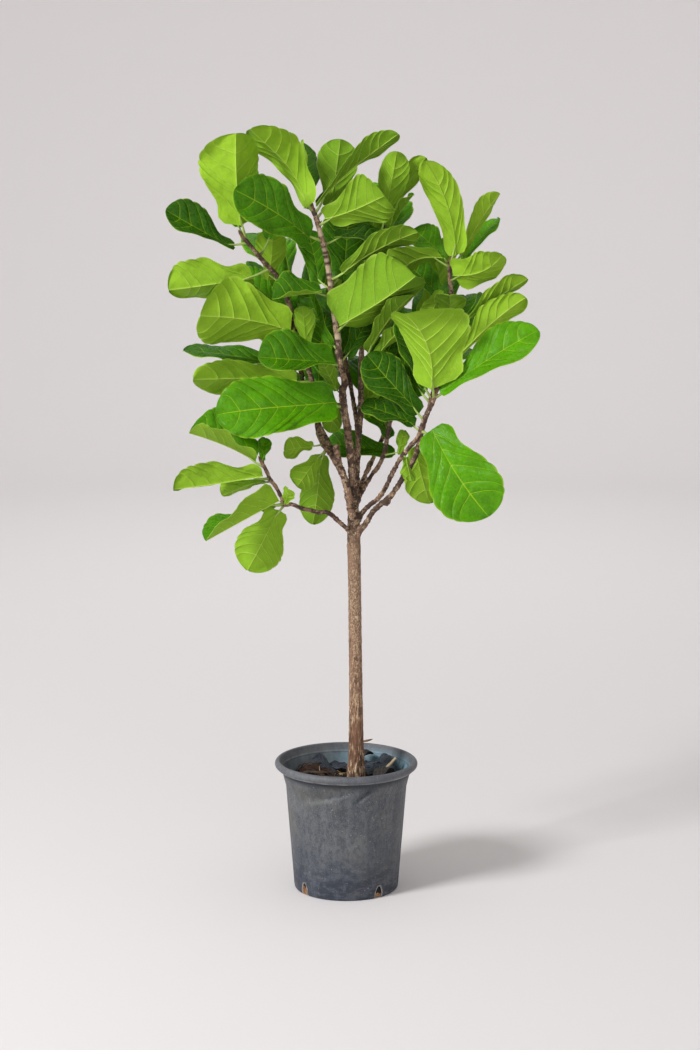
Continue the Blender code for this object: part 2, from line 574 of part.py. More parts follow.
class Blade:
    """A leaf's shape in space."""

    def __init__(self, base, tip, width, turn, arch, fold, phase, gesture=(0, 0, 0, 0, 0.50)):
        self.base = base
        self.length = (tip - base).length
        self.along = (tip - base).normalized()
        to_eye = (EYE - base).normalized()
        face = (to_eye - self.along * to_eye.dot(self.along)).normalized()
        self.up = Quaternion(self.along, math.radians(turn)) @ face
        self.side = self.along.cross(self.up)
        self.width = width
        self.arch = arch
        self.fold = math.radians(fold)
        self.phase = phase
        sweep, twist, flap, cup, neck = gesture
        self.sweep = sweep + 0.025 * math.sin(3.1 * phase)
        self.twist = math.radians(twist + 10 * math.sin(5.3 * phase))
        self.flap = math.radians(flap)
        self.cup = cup + 0.05 * math.sin(2.3 * phase)
        self.skew = 0.5 * math.sin(7.7 * phase)
        self.neck = neck + 0.05 * math.sin(4.1 * phase)

    def set_up(self, up):
        """Turn the upper side as near as it goes to a direction."""
        self.up = (up - self.along * self.along.dot(up)).normalized()
        self.side = self.along.cross(self.up)

    def point(self, u, v):
        """A place on the middle surface: u from base to tip, v from edge (-1) to edge (1)."""
        wide = outline(u, self.neck)
        reach = abs(v) * self.width / 2 * wide
        fold = self.fold + (max(0.0, self.flap) if v > 0 else max(0.0, -self.flap))
        wave = 2 * math.pi * WAVES * u + self.phase + (1.9 if v > 0 else 0)
        rise = reach * math.sin(fold) + self.cup * 2 * reach * reach / self.width
        rise += WAVE_HEIGHT * self.width * v * v * wide * math.sin(wave)
        across = math.copysign(reach * math.cos(fold), v)
        turn = self.twist * (u - TWIST_START)
        bow = self.length * 4 * u * (1 - u)
        arch = bow * self.arch * (1 + self.skew * (2 * u - 1))
        lift = arch + rise * math.cos(turn) - across * math.sin(turn)
        aside = bow * self.sweep + across * math.cos(turn) + rise * math.sin(turn)
        return self.base + self.along * (self.length * u) + self.up * lift + self.side * aside


def leaf_blade(stretch, leaf, turn_more, reach_more):
    """The blade of a leaf in the table, and where its stalk leaves the stem."""
    rows = STEMS[stretch.stem][0][stretch.first:stretch.last + 1]
    goal = (leaf.x0, leaf.z0 - 1.2)
    best = None
    for number, (one, other) in enumerate(zip(rows, rows[1:])):
        run = (other[0] - one[0], other[1] - one[1])
        square = run[0] ** 2 + run[1] ** 2
        part = ((goal[0] - one[0]) * run[0] + (goal[1] - one[1]) * run[1]) / square
        margin = min(0.45, STALK_MARGIN / math.sqrt(square))
        lowest = margin if number == 0 else 0
        highest = 1 - margin if number == len(rows) - 2 else 1
        part = min(highest, max(lowest, part))
        spot = [one[i] + (other[i] - one[i]) * part for i in range(3)]
        far = math.hypot(spot[0] - goal[0], spot[1] - goal[1])
        if best is None or far < best[0]:
            best = (far, spot)
    spot = best[1]
    reach = leaf.reach + reach_more
    start_depth = spot[2] + math.copysign(1.0, reach) + 0.1 * reach
    root = seen(*spot)
    base = seen(leaf.x0, leaf.z0, start_depth)
    tip = seen(leaf.x1, leaf.z1, start_depth + reach)
    way = (tip - base).normalized()
    short = PETIOLE_LEAST - (base - root).length
    if short > 0:
        base = base + way * short
    phase = (leaf.x1 * 0.7 + leaf.z1 * 0.3) % (2 * math.pi)
    blade = Blade(base, tip, leaf.width * CM, leaf.turn + turn_more, leaf.arch, leaf.fold, phase,
                  leaf[GESTURE:])
    return blade, root


def rear_blade(root, heading, rise, length, width, phase):
    """A blade that grows out from a point of a stem, upper side up."""
    way = Vector((math.cos(math.radians(heading)) * math.cos(math.radians(rise)),
                  math.sin(math.radians(heading)) * math.cos(math.radians(rise)),
                  math.sin(math.radians(rise))))
    base = root + way * 0.030
    tip = base + way * length
    blade = Blade(base, tip, width, 0, 0.06, 12, phase)
    blade.set_up(Vector((0, 0, 1)))
    return blade


def petiole(blade, root):
    """The stalk's line: from inside the stem to just past the foot of the blade."""
    scale = min(1.0, 0.55 + blade.length / 0.40)
    end = blade.point(STALK_END, 0) - blade.up * STALK_SINK
    return [root, end], [PETIOLE_RADIUS * scale * 1.15, PETIOLE_RADIUS * scale * 0.7]


def sheet(blade, offset, rows=12, columns=6):
    """Points and quads of the blade's surface, moved out along its upper side."""
    points = []
    for i in range(rows + 1):
        u = 0.01 + 0.98 * i / rows
        for j in range(columns + 1):
            points.append(blade.point(u, 2 * j / columns - 1) + blade.up * offset)
    quads = []
    for i in range(rows):
        for j in range(columns):
            corner = i * (columns + 1) + j
            quads.append((corner, corner + 1, corner + columns + 2, corner + columns + 1))
    return points, quads


def rope(places, sizes, more):
    """Points and quads of a four-sided tube for the test of what crosses."""
    points = []
    for i, (place, size) in enumerate(zip(places, sizes)):
        ahead = places[min(i + 1, len(places) - 1)] - places[max(i - 1, 0)]
        ahead.normalize()
        side = ahead.orthogonal().normalized()
        other = ahead.cross(side)
        for turn in range(4):
            angle = turn * math.pi / 2
            points.append(place + (side * math.cos(angle) + other * math.sin(angle)) * (size + more))
    quads = []
    for i in range(len(places) - 1):
        for turn in range(4):
            following = (turn + 1) % 4
            quads.append((i * 4 + turn, i * 4 + following, i * 4 + 4 + following, i * 4 + 4 + turn))
    return points, quads


def tree_of(*parts):
    """One search tree of several lots of points and quads."""
    points, quads = [], []
    for some_points, some_quads in parts:
        first = len(points)
        points += some_points
        quads += [tuple(first + i for i in quad) for quad in some_quads]
    return BVHTree.FromPolygons(points, quads)


def leaf_tree(blade, root, start, spread):
    """A search tree of a blade and its stalk from a part of its length on, spread to both sides."""
    places, sizes = petiole(blade, root)
    stalk = rope([places[0].lerp(places[1], start), places[1]], sizes, spread / 2)
    return tree_of(sheet(blade, spread), sheet(blade, -spread), stalk)


def crossings(blade, root, stem_trees, own, placed):
    """How many faces of what stands already come too near to a leaf."""
    whole = leaf_tree(blade, root, 0, CLEARANCE)
    upper = leaf_tree(blade, root, STALK_FREE, CLEARANCE)
    bare = tree_of(sheet(blade, CLEARANCE), sheet(blade, -CLEARANCE))
    count = 0
    for node, whole_other, upper_other in placed:
        if node == own:
            count += len(upper.overlap(upper_other))
        else:
            count += len(whole.overlap(whole_other))
    for name, other in stem_trees.items():
        count += len((bare if name == own else whole).overlap(other))
    return count


def place_leaves():
    """Choose each leaf's final blade: as listed, or turned and moved a little to be clear."""
    stem_trees = {}
    for stretch in STRETCHES:
        stem_trees[stretch.node] = tree_of(rope(*cut_line(stretch.stem, stretch.first, stretch.last), 0))
    for name, last in limb_ends().items():
        stem_trees[name] = tree_of(rope(*cut_line(name, 0, last), 0))
    placed = []
    chosen = {stretch.node: [] for stretch in STRETCHES}
    tries = [(turn, reach) for turn in (0, -8, 8, -16, 16, -24, 24, -36, 36, -48, 48)
             for reach in (0, -2, 2, -4, 4, -6, 6, -9, 9)]
    tries.sort(key=lambda step: abs(step[0]) / 10 + abs(step[1]) / 2)

    def keep(node, blade, root):
        placed.append((node, leaf_tree(blade, root, 0, 0), leaf_tree(blade, root, STALK_FREE, 0)))
        chosen[node].append((blade, root))

    for stretch in STRETCHES:
        for number, leaf in enumerate(LEAVES[stretch.node]):
            best = None
            for turn, reach in tries:
                blade, root = leaf_blade(stretch, leaf, turn, reach)
                count = crossings(blade, root, stem_trees, stretch.node, placed)
                if best is None or count < best[0]:
                    best = (count, blade, root)
                if count == 0:
                    break
            if best[0]:
                print("crosses", stretch.node, number, best[0])
            keep(stretch.node, best[1], best[2])
    rng = random.Random(REAR_SEED)
    for stretch in STRETCHES:
        amount, first = REAR_LEAVES.get(stretch.node, (0, 0))
        points = stem_line(stretch.stem)[0][stretch.first:stretch.last + 1]
        for i in range(amount):
            along = 0.25 + 0.72 * (i + 0.5) / amount
            spot = along * (len(points) - 1)
            step = min(int(spot), len(points) - 2)
            root = points[step].lerp(points[step + 1], min(0.9, max(0.1, spot - step)))
            heading = first + i * GOLDEN_ANGLE
            rise = rng.uniform(18, 38) + 24 * along
            length = rng.uniform(0.17, 0.23)
            width = length * rng.uniform(0.56, 0.66)
            phase = rng.uniform(0, 2 * math.pi)
            options = [(turn, more, scale) for scale in (1, 0.88, 0.76, 0.66)
                       for more in (0, 14, -14, 28, -28)
                       for turn in (0, 15, -15, 30, -30, 50, -50, 75, -75, 100, -100, 130, -130)]
            for turn, more, scale in options:
                blade = rear_blade(root, heading + turn, rise + more, length * scale, width * scale, phase)
                tip = blade.point(1, 0)
                if tip.y > REAR_REACH or tip.y < 0.04 or abs(tip.x) > 0.36 or tip.z > 1.66:
                    continue
                if crossings(blade, root, stem_trees, stretch.node, placed) == 0:
                    keep(stretch.node, blade, root)
                    break
            else:
                print("left out", stretch.node, i)
    return chosen


def make_leaf(blade, group):
    """A blade as a closed shell, with a grid of few faces."""
    columns = 4 if blade.width > BROAD_LEAF else 2
    places = BLADE_ROWS if blade.width > SMALL_LEAF else SMALL_BLADE_ROWS
    rows = len(places) - 1
    bm = bmesh.new()
    bmesh.ops.create_grid(bm, x_segments=columns, y_segments=rows, size=1)
    for spot in bm.verts:
        u = places[round((spot.co.y + 1) / 2 * rows)]
        spot.co = blade.point(u, spot.co.x)
    leaf = add_mesh("blade", bm, group)
    split = leaf.modifiers.new("triangles", "TRIANGULATE")
    split.quad_method = "FIXED"
    shell = leaf.modifiers.new("thickness", "SOLIDIFY")
    shell.thickness = BLADE_THICKNESS
    shell.offset = 0
    return leaf


def make_leafy_stem(stretch, leaves, group, mat):
    """A stretch of stem with its leaves grown on, as one solid."""
    places, sizes = cut_line(stretch.stem, stretch.first, stretch.last)
    stem = tube(stretch.node, places, sizes, group)
    pieces = make_collection(stretch.node + "_pieces")
    if stretch.last == len(STEMS[stretch.stem][0]) - 1:
        end = places[-1]
        way = (places[-1] - places[-2]).normalized()
        tube("bud", [end - way * 0.004, end + way * 0.008, end + way * 0.022],
             [sizes[-1] * 0.85, sizes[-1] * 0.8, 0.0010], pieces)
    for blade, root in leaves:
        make_leaf(blade, pieces)
        line, thick = petiole(blade, root)
        tube("stalk", line, thick, pieces, roundness=0)
    unite(stem, pieces)
    finish(stem, mat)
    return stem


def settle(thing, ground):
    """Lower or lift a piece until it just rests on the soil."""
    above = Vector((0, 0, RIM_HEIGHT))
    down = Vector((0, 0, -1))
    least = 1.0
    for spot in thing.data.vertices:
        hit = ground.ray_cast(Vector((spot.co.x, spot.co.y, 0)) + above, down)[0]
        if hit is not None:
            least = min(least, spot.co.z - hit.z)
    thing.data.transform(Matrix.Translation((0, 0, LITTER_GAP - least)))


def make_litter(soil, group):
    """Twigs, a surface root and dry leaves that lie on the soil."""
    ground = BVHTree.FromObject(soil, bpy.context.evaluated_depsgraph_get())
    twig_mat = make_material("dead_wood", (0.16, 0.10, 0.055, 1), 0.85)
    for name, (rows, thick, thin) in LITTER.items():
        last = len(rows) - 1
        places = [Vector((x, y, z)) * CM + Vector((0, 0, SOIL_HEIGHT)) for x, y, z in rows]
        sizes = [(thick + (thin - thick) * i / last) * CM for i in range(last + 1)]
        twig = tube(name, places, sizes, group)
        if name == "twig_dark":
            pieces = make_collection("twig_fork")
            ends = [Vector(spot) * CM + Vector((0, 0, SOIL_HEIGHT)) for spot in LITTER_TWIG]
            tube("fork", ends, [thick * 0.7 * CM, thin * 0.6 * CM], pieces)
            unite(twig, pieces)
        settle(twig, ground)
        finish(twig, twig_mat)
    leaf_mat = make_material("dry_leaf", (0.10, 0.055, 0.025, 1), 0.8)
    for name, (base, tip, width, arch, fold) in DRY_LEAVES.items():
        ends = [Vector(spot) * CM + Vector((0, 0, SOIL_HEIGHT)) for spot in (base, tip)]
        blade = Blade(*ends, width * CM, 0, arch, fold, 1.0)
        blade.set_up(Vector((-0.4, -0.2, 1)))
        leaf = make_leaf(blade, group)
        leaf.data = evaluated_mesh(leaf)
        leaf.modifiers.clear()
        leaf.name = name
        settle(leaf, ground)
        finish(leaf, leaf_mat)


def main():
    clear_scene()
    group = make_collection("potted_fiddle_leaf_fig")
    make_pot(group)
    soil = make_soil(group)
    make_litter(soil, group)
    make_trunk(group)
    green = make_material("leaf_green", GREEN, 0.42)
    chosen = place_leaves()
    for stretch in STRETCHES:
        make_leafy_stem(stretch, chosen[stretch.node], group, green)
    total = 0
    for thing in group.objects:
        thing.data.calc_loop_triangles()
        count = len(thing.data.loop_triangles)
        total += count
        print(thing.name, count)
    print("triangles", total)


main()
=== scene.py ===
# %% [markdown]
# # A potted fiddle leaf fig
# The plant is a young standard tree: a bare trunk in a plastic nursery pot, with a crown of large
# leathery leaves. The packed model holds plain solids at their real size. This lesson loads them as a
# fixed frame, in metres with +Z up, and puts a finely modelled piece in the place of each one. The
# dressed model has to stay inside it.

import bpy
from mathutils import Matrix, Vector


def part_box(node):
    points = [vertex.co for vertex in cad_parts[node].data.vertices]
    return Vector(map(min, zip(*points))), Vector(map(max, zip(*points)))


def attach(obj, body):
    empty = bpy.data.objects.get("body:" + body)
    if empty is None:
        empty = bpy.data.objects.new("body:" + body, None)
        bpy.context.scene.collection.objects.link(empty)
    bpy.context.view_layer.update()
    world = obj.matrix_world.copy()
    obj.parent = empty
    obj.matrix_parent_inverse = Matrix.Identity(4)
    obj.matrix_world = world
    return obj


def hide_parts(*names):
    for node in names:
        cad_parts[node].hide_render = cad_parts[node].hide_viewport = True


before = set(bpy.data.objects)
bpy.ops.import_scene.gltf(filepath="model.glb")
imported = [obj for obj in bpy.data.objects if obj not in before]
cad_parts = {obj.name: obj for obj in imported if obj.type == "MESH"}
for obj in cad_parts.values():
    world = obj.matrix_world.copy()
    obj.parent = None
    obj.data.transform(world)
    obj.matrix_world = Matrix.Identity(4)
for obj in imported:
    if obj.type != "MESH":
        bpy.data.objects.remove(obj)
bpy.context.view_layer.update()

# %% Blender's modules
import math
import random
from collections import namedtuple

import bpy
import numpy as np
from mathutils import Matrix, Quaternion, Vector, noise
from mathutils.bvhtree import BVHTree

CM = 0.01
scene = bpy.context.scene

# %% [markdown]
# ## The viewpoint
# A camera is a pinhole with a lens and a sensor. The ellipses that a pot's lip and foot make in a
# picture give how far away and how high the camera stood: here about five metres off, a little above
# the trunk's middle, looking down by nine degrees. Looking square on with no shift keeps the frame
# right when another view moves the camera.

# %% Camera
EYE = Vector((0.0085, -5.1, 1.65))
LOOK_DOWN = math.radians(9.2)
SENSOR = 36             # height of film and length of lens, in millimetres
LENS = 80.42

camera = bpy.data.objects.new("camera", bpy.data.cameras.new("camera"))
camera.data.sensor_fit = "VERTICAL"
camera.data.sensor_height = SENSOR
camera.data.lens = LENS
camera.data.clip_end = 60
camera.location = EYE
camera.rotation_euler = (math.pi / 2 - LOOK_DOWN, 0, 0)
scene.collection.objects.link(camera)
scene.camera = camera
print("camera", camera.location, "lens", camera.data.lens)

# %% [markdown]
# ## Studio
# A product studio uses a cove: floor and wall in one sweep, so that no line shows behind the plant.
# One profile, a flat run with a quarter circle and an upright, is turned about the pot with a Screw
# modifier. The plant then has the same pale ground from every side. The colours are shown with the
# Standard view, because the filmic ones make bright greens look dusty.

# %% A cove of floor and wall
COVE_FLAT = 6.4
COVE_BEND = 2.4
COVE_HEIGHT = 7.5


def make_material(name, color, roughness):
    """A Principled material with one colour, and its node tree and shader."""
    mat = bpy.data.materials.new(name)
    mat.use_nodes = True
    shader = mat.node_tree.nodes["Principled BSDF"]
    shader.inputs["Base Color"].default_value = (*color, 1)
    shader.inputs["Roughness"].default_value = roughness
    return mat, mat.node_tree, shader


def make_cove():
    """The studio's floor and wall, turned round the pot."""
    profile = [(0.0, 0.0)]
    for step in range(17):
        angle = math.pi / 2 * step / 16
        profile.append((COVE_FLAT + COVE_BEND * math.sin(angle), COVE_BEND * (1 - math.cos(angle))))
    profile.append((COVE_FLAT + COVE_BEND, COVE_HEIGHT))
    mesh = bpy.data.meshes.new("studio_cove")
    edges = [(i, i + 1) for i in range(len(profile) - 1)]
    mesh.from_pydata([(radius, 0, height) for radius, height in profile], edges, [])
    cove = bpy.data.objects.new("studio_cove", mesh)
    scene.collection.objects.link(cove)
    turn = cove.modifiers.new("turn", "SCREW")
    turn.steps = 128
    turn.render_steps = 128
    turn.use_smooth_shade = True
    turn.use_merge_vertices = True
    turn.merge_threshold = 0.0001
    cove.data.materials.append(make_material("studio_paper", (0.8, 0.775, 0.78), 0.9)[0])


make_cove()
scene.view_settings.view_transform = "Standard"
print("cove radius", COVE_FLAT + COVE_BEND)

# %% [markdown]
# ## Light
# The picture has one large soft light high on the left and white surroundings that fill every
# shadow. An area light gives soft shadows because it is large. Its beam is narrowed a little, so
# that the wall's top stays dimmer than its foot, as in the picture. A light above the ground behind
# the plant evens out the paper's bend, a weak one in front opens the shadows under the leaves, and
# a pale sky colour stands for the white room.

# %% Lights


def add_light(name, place, target, size, power, opening):
    """A square area light at a place, facing a target. A smaller opening narrows its beam."""
    light = bpy.data.lights.new(name, "AREA")
    light.shape = "SQUARE"
    light.size = size
    light.energy = power
    light.spread = math.radians(opening)
    lamp = bpy.data.objects.new(name, light)
    lamp.location = place
    lamp.rotation_euler = (Vector(target) - Vector(place)).to_track_quat("-Z", "Y").to_euler()
    scene.collection.objects.link(lamp)


add_light("key_light", (-5.2, -4.0, 4.9), (0, 0.4, 0.8), 2.0, 255, 130)
add_light("fill_light", (1.6, -6.0, 1.9), (0, 0, 1.0), 2.4, 4.8, 60)
add_light("ground_light", (0.0, 3.4, 4.6), (0.0, 6.2, 0.0), 2.0, 27, 120)
world = bpy.data.worlds.new("white_room")
world.use_nodes = True
world.node_tree.nodes["Background"].inputs["Color"].default_value = (1.0, 0.985, 0.97, 1)
world.node_tree.nodes["Background"].inputs["Strength"].default_value = 0.57
scene.world = world

# %% [markdown]
# ## Clay
# Most pieces here are made of many small forms: a leafy stem has leaves, stalks and wood. `Clay`
# gathers the points and faces of such forms, and then makes one mesh of them. It also keeps numbers
# for each point, such as how much of a vein runs there. Blender calls these attributes, and a
# material can read them.

# %% Places and numbers at a mesh's points


def read_places(mesh):
    """The places of a mesh's points, one row a point."""
    places = np.empty(len(mesh.vertices) * 3)
    mesh.vertices.foreach_get("co", places)
    return places.reshape(-1, 3)


def set_mark(mesh, name, values):
    """Keep a number at each point, under a name that a material can read."""
    kept = mesh.attributes.get(name) or mesh.attributes.new(name, "FLOAT", "POINT")
    kept.data.foreach_set("value", values.astype(np.float32))


print("marks are kept as 32-bit numbers, one a point")

# %% A gatherer of points and faces


class Clay:
    """Points, faces and numbers at points, gathered for one mesh."""

    def __init__(self, *marks):
        self.points = []
        self.faces = []
        self.slots = []
        self.spots = []
        self.marks = {mark: [] for mark in marks}
        self.start = 0
        self.count = 0

    def add(self, points, faces, slot=0, spots=None, **marks):
        """Add a form. faces are arrays of corners, spots are places on the UV map."""
        points = np.asarray(points, float).reshape(-1, 3)
        self.start = self.count
        self.count += len(points)
        self.points.append(points)
        self.more(faces, slot)
        self.spots.append(np.zeros((len(points), 2)) if spots is None else spots.reshape(-1, 2))
        for mark, values in self.marks.items():
            values.append(np.ones(len(points)) * np.ravel(marks.get(mark, 0.0)))

    def more(self, faces, slot):
        """Add faces between the points of the last form, with a material of their own."""
        for some in faces:
            rows = (np.asarray(some) + self.start).tolist()
            self.faces += rows
            self.slots += [slot] * len(rows)

    def build(self, name, mats, sharp=50):
        """The mesh object, with its materials, UV map and attributes."""
        mesh = bpy.data.meshes.new(name)
        mesh.from_pydata(np.concatenate(self.points).tolist(), [], self.faces)
        mesh.polygons.foreach_set("material_index", self.slots)
        corners = np.empty(len(mesh.loops), np.int32)
        mesh.loops.foreach_get("vertex_index", corners)
        layer = mesh.uv_layers.new(name="UVMap")
        layer.data.foreach_set("uv", np.concatenate(self.spots)[corners].ravel().astype(np.float32))
        for mark, values in self.marks.items():
            set_mark(mesh, mark, np.concatenate(values))
        for mat in mats:
            mesh.materials.append(mat)
        mesh.shade_smooth()
        mesh.set_sharp_from_angle(angle=math.radians(sharp))
        piece = bpy.data.objects.new(name, mesh)
        scene.collection.objects.link(piece)
        return piece


print("Clay gathers:", ", ".join(name for name in vars(Clay) if name[0] != "_"))

# %% Faces between rows of points


def grid_quads(rows, columns, joined=False):
    """Corners of the quads between rows of points; joined closes each row to a ring."""
    i, j = np.meshgrid(np.arange(rows - 1), np.arange(columns if joined else columns - 1), indexing="ij")
    k = (j + 1) % columns
    return np.stack([i * columns + j, i * columns + k, (i + 1) * columns + k, (i + 1) * columns + j],
                    -1).reshape(-1, 4)


def closed_quads(rings, sides):
    """Faces of a closed skin: quads between rings of points, and a cap at each end."""
    last = (rings - 1) * sides
    caps = [list(range(sides - 1, -1, -1))], [list(range(last, last + sides))]
    return [grid_quads(rings, sides, True), *caps]


print("quads between 3 rows of 4 points:", len(grid_quads(3, 4)))

# %% [markdown]
# A finished piece says two things: which body it rides on, and which plain node it stands in
# for.

# %% Handing a piece over


def dress(piece, slot, *nodes):
    """Hand over a piece: it rides with the plant, and stands in for plain nodes."""
    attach(piece, "root")
    if nodes:
        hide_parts(*nodes)
    print(piece.name, len(piece.data.polygons), "faces")


print("plain nodes to stand in for:", len(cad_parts))

# %% [markdown]
# ## Tubes
# Stems, stalks, twigs and roots are all tubes along a path. A path has few points, given one by one.
# A Catmull-Rom curve goes through all of them and bends smoothly, and rings of points are set round
# it. The rings mustn't twist, so each ring's direction is carried over from the one before.

# %% Smooth paths and tubes


def smooth_path(points, radii, step):
    """Places about a step apart on a smooth curve through points, and the radius at each."""
    rows = np.column_stack([np.array([tuple(p) for p in points]), radii])
    rows = np.vstack([2 * rows[0] - rows[1], rows, 2 * rows[-1] - rows[-2]])
    out = []
    for a, b, c, d in zip(rows, rows[1:], rows[2:], rows[3:]):
        count = max(1, round(float(np.linalg.norm(c[:3] - b[:3])) / step))
        for t in np.arange(count) / count:
            out.append(0.5 * (2 * b + (c - a) * t + (2 * a - 5 * b + 4 * c - d) * t * t
                              + (3 * b - a - 3 * c + d) * t ** 3))
    out.append(rows[-2])
    out = np.array(out)
    return out[:, :3], out[:, 3]


def tube(path, radii, sides):
    """Points and faces of a closed tube. radii has one value a ring, or one a point."""
    path = np.asarray(path, float)
    ahead = np.gradient(path, axis=0)
    ahead /= np.linalg.norm(ahead, axis=1)[:, None]
    first = Vector(ahead[0]).orthogonal().normalized()
    sideways = [np.array(first)]
    for way in ahead[1:]:
        carried = sideways[-1] - way * sideways[-1].dot(way)
        sideways.append(carried / np.linalg.norm(carried))
    sideways = np.array(sideways)
    other = np.cross(ahead, sideways)
    angles = np.arange(sides) * 2 * math.pi / sides
    ring = (sideways[:, None] * np.cos(angles)[None, :, None]
            + other[:, None] * np.sin(angles)[None, :, None])
    radii = np.asarray(radii, float)
    radii = radii[:, None] if radii.ndim == 1 else radii
    return path[:, None] + ring * radii[:, :, None], closed_quads(len(path), sides)


print("places on a path 10 cm long:", len(smooth_path([(0, 0, 0), (0, 0, 0.1)], [1, 1], 0.01)[0]))

# %% [markdown]
# ## Nodes for materials
# A material is a small machine of nodes. These helpers add a node with its inputs in one call, so
# that a material below reads as a list of what the surface does: an input is either a number or
# the output of another node.

# %% Helpers for node trees


def put(tree, kind, inputs=None, **settings):
    """Add a node. Inputs are given by name or number, as a value or as another node's output."""
    made = tree.nodes.new("ShaderNode" + kind)
    for name, value in settings.items():
        setattr(made, name, value)
    for name, value in (inputs or {}).items():
        if isinstance(value, bpy.types.NodeSocket):
            tree.links.new(value, made.inputs[name])
        else:
            made.inputs[name].default_value = value
    return made


def mix(tree, factor, one, other, how="MIX"):
    """Two colours mixed; the output is the mixed colour."""
    one = one if isinstance(one, bpy.types.NodeSocket) else (*one, 1)
    other = other if isinstance(other, bpy.types.NodeSocket) else (*other, 1)
    return put(tree, "Mix", {0: factor, 6: one, 7: other}, data_type="RGBA", blend_type=how).outputs[2]


def math_node(tree, how, one, other=0.0, third=0.0):
    """Two or three numbers worked out to one."""
    return put(tree, "Math", {0: one, 1: other, 2: third}, operation=how).outputs[0]


def times(tree, one, other):
    """One number times another."""
    return math_node(tree, "MULTIPLY", one, other)


def spread(tree, value, low, high, start=0.0, end=1.0):
    """A number moved from one range to another, and kept inside it."""
    return put(tree, "MapRange", {"Value": value, "From Min": low, "From Max": high,
                                  "To Min": start, "To Max": end}).outputs[0]


print("node helpers:", put.__name__, mix.__name__, times.__name__, spread.__name__)

# %% Patterns and relief


def stain(tree, color, tint, pattern, low, high, most=1.0):
    """A colour with a tint over it: none where a pattern is low, and at most so much where it is high."""
    return mix(tree, spread(tree, pattern, low, high, 0.0, most), color, tint)


def ramp(tree, value, stops):
    """A colour read from a band of colours."""
    made = put(tree, "ValToRGB", {"Fac": value})
    band = made.color_ramp.elements
    while len(band) < len(stops):
        band.new(0.5)
    for slot, (place, color) in zip(band, stops):
        slot.position = place
        slot.color = (*color, 1)
    return made.outputs["Color"]


def object_place(tree, stretch=(1, 1, 1)):
    """The place on the object in metres, stretched along its axes."""
    place = put(tree, "TexCoord").outputs["Object"]
    return put(tree, "Mapping", {"Vector": place, "Scale": stretch}).outputs["Vector"]


def speckle(tree, place, scale, detail=4.0, roughness=0.55):
    """A noise from 0 to 1."""
    return put(tree, "TexNoise", {"Vector": place, "Scale": scale, "Detail": detail,
                                  "Roughness": roughness}).outputs["Fac"]


def mark(tree, name):
    """A number kept at the mesh's points."""
    return put(tree, "Attribute", attribute_name=name).outputs["Fac"]


def relief(tree, shader, height, depth):
    """Give a shader small hills and hollows."""
    bump = put(tree, "Bump", {"Height": height, "Distance": depth, "Strength": 1.0})
    tree.links.new(bump.outputs["Normal"], shader.inputs["Normal"])


print("more of them:", stain.__name__, ramp.__name__, speckle.__name__, relief.__name__)

# %% [markdown]
# ## The tree's plan
# The tables below say where each stem and leaf is. They are read off as the eye sees them on the
# plane of the trunk, in centimetres, with a guessed depth behind it. The plain model was built from
# the same tables, so the fine pieces land where the plain ones are.

# %% Stems in the middle
# A stem's points (x and z as seen on the trunk's plane, and depth behind it), and its radius at
# foot and end
STEMS = {
    "leader": ([(1.6, 84, 0), (1.5, 90, 0.3), (1.3, 95, 0.6), (0.6, 101, 1), (0.3, 104, 1),
                (-0.3, 107, 1.2), (-0.8, 112, 1.4), (-0.3, 114, 1.5), (-1.5, 119, 1.8),
                (-1.7, 123, 2), (-2.3, 127, 2), (-3.0, 131, 1.5), (-3.5, 136.5, 1),
                (-4.5, 142, 0.5), (-5.5, 146, 0), (-6.3, 149, 0), (-7.2, 151.5, 0)],
               1.05, 0.5),
    "left": ([(1.4, 83.5, -0.6), (0.3, 90, -2.2), (-0.5, 93, -2.0), (-2, 96, -1), (-3.5, 98.5, 0.5),
              (-5, 100.5, 2), (-6, 103, 3.5), (-6.4, 107, 5), (-7, 112, 6), (-9, 120, 6),
              (-12, 130, 4), (-15, 137, 1), (-19, 141.5, -2), (-22.3, 145.5, -4)],
             0.9, 0.45),
    "back": ([(1.6, 86, 0.5), (2.2, 92, 2.5), (2.4, 97, 3), (2.8, 103, 3.5), (3.2, 108, 4.5),
              (3.2, 113, 5.5), (3.3, 119, 6.5), (3.6, 125, 7.5), (4.5, 132, 8.5), (5.8, 138, 9),
              (7, 143, 9), (7.8, 146.5, 8.5)],
             0.8, 0.45),
    "inner": ([(1.7, 84.5, 0.5), (3, 89, 2.2), (4, 91, 3), (5.3, 93, 4), (6.8, 95, 5), (7.8, 96.8, 5.8),
               (8.5, 99, 6.5), (9.2, 103, 8), (10, 108, 9.5), (10.6, 112, 10.5)],
              0.62, 0.42),
}
print("stems in the middle:", *STEMS)

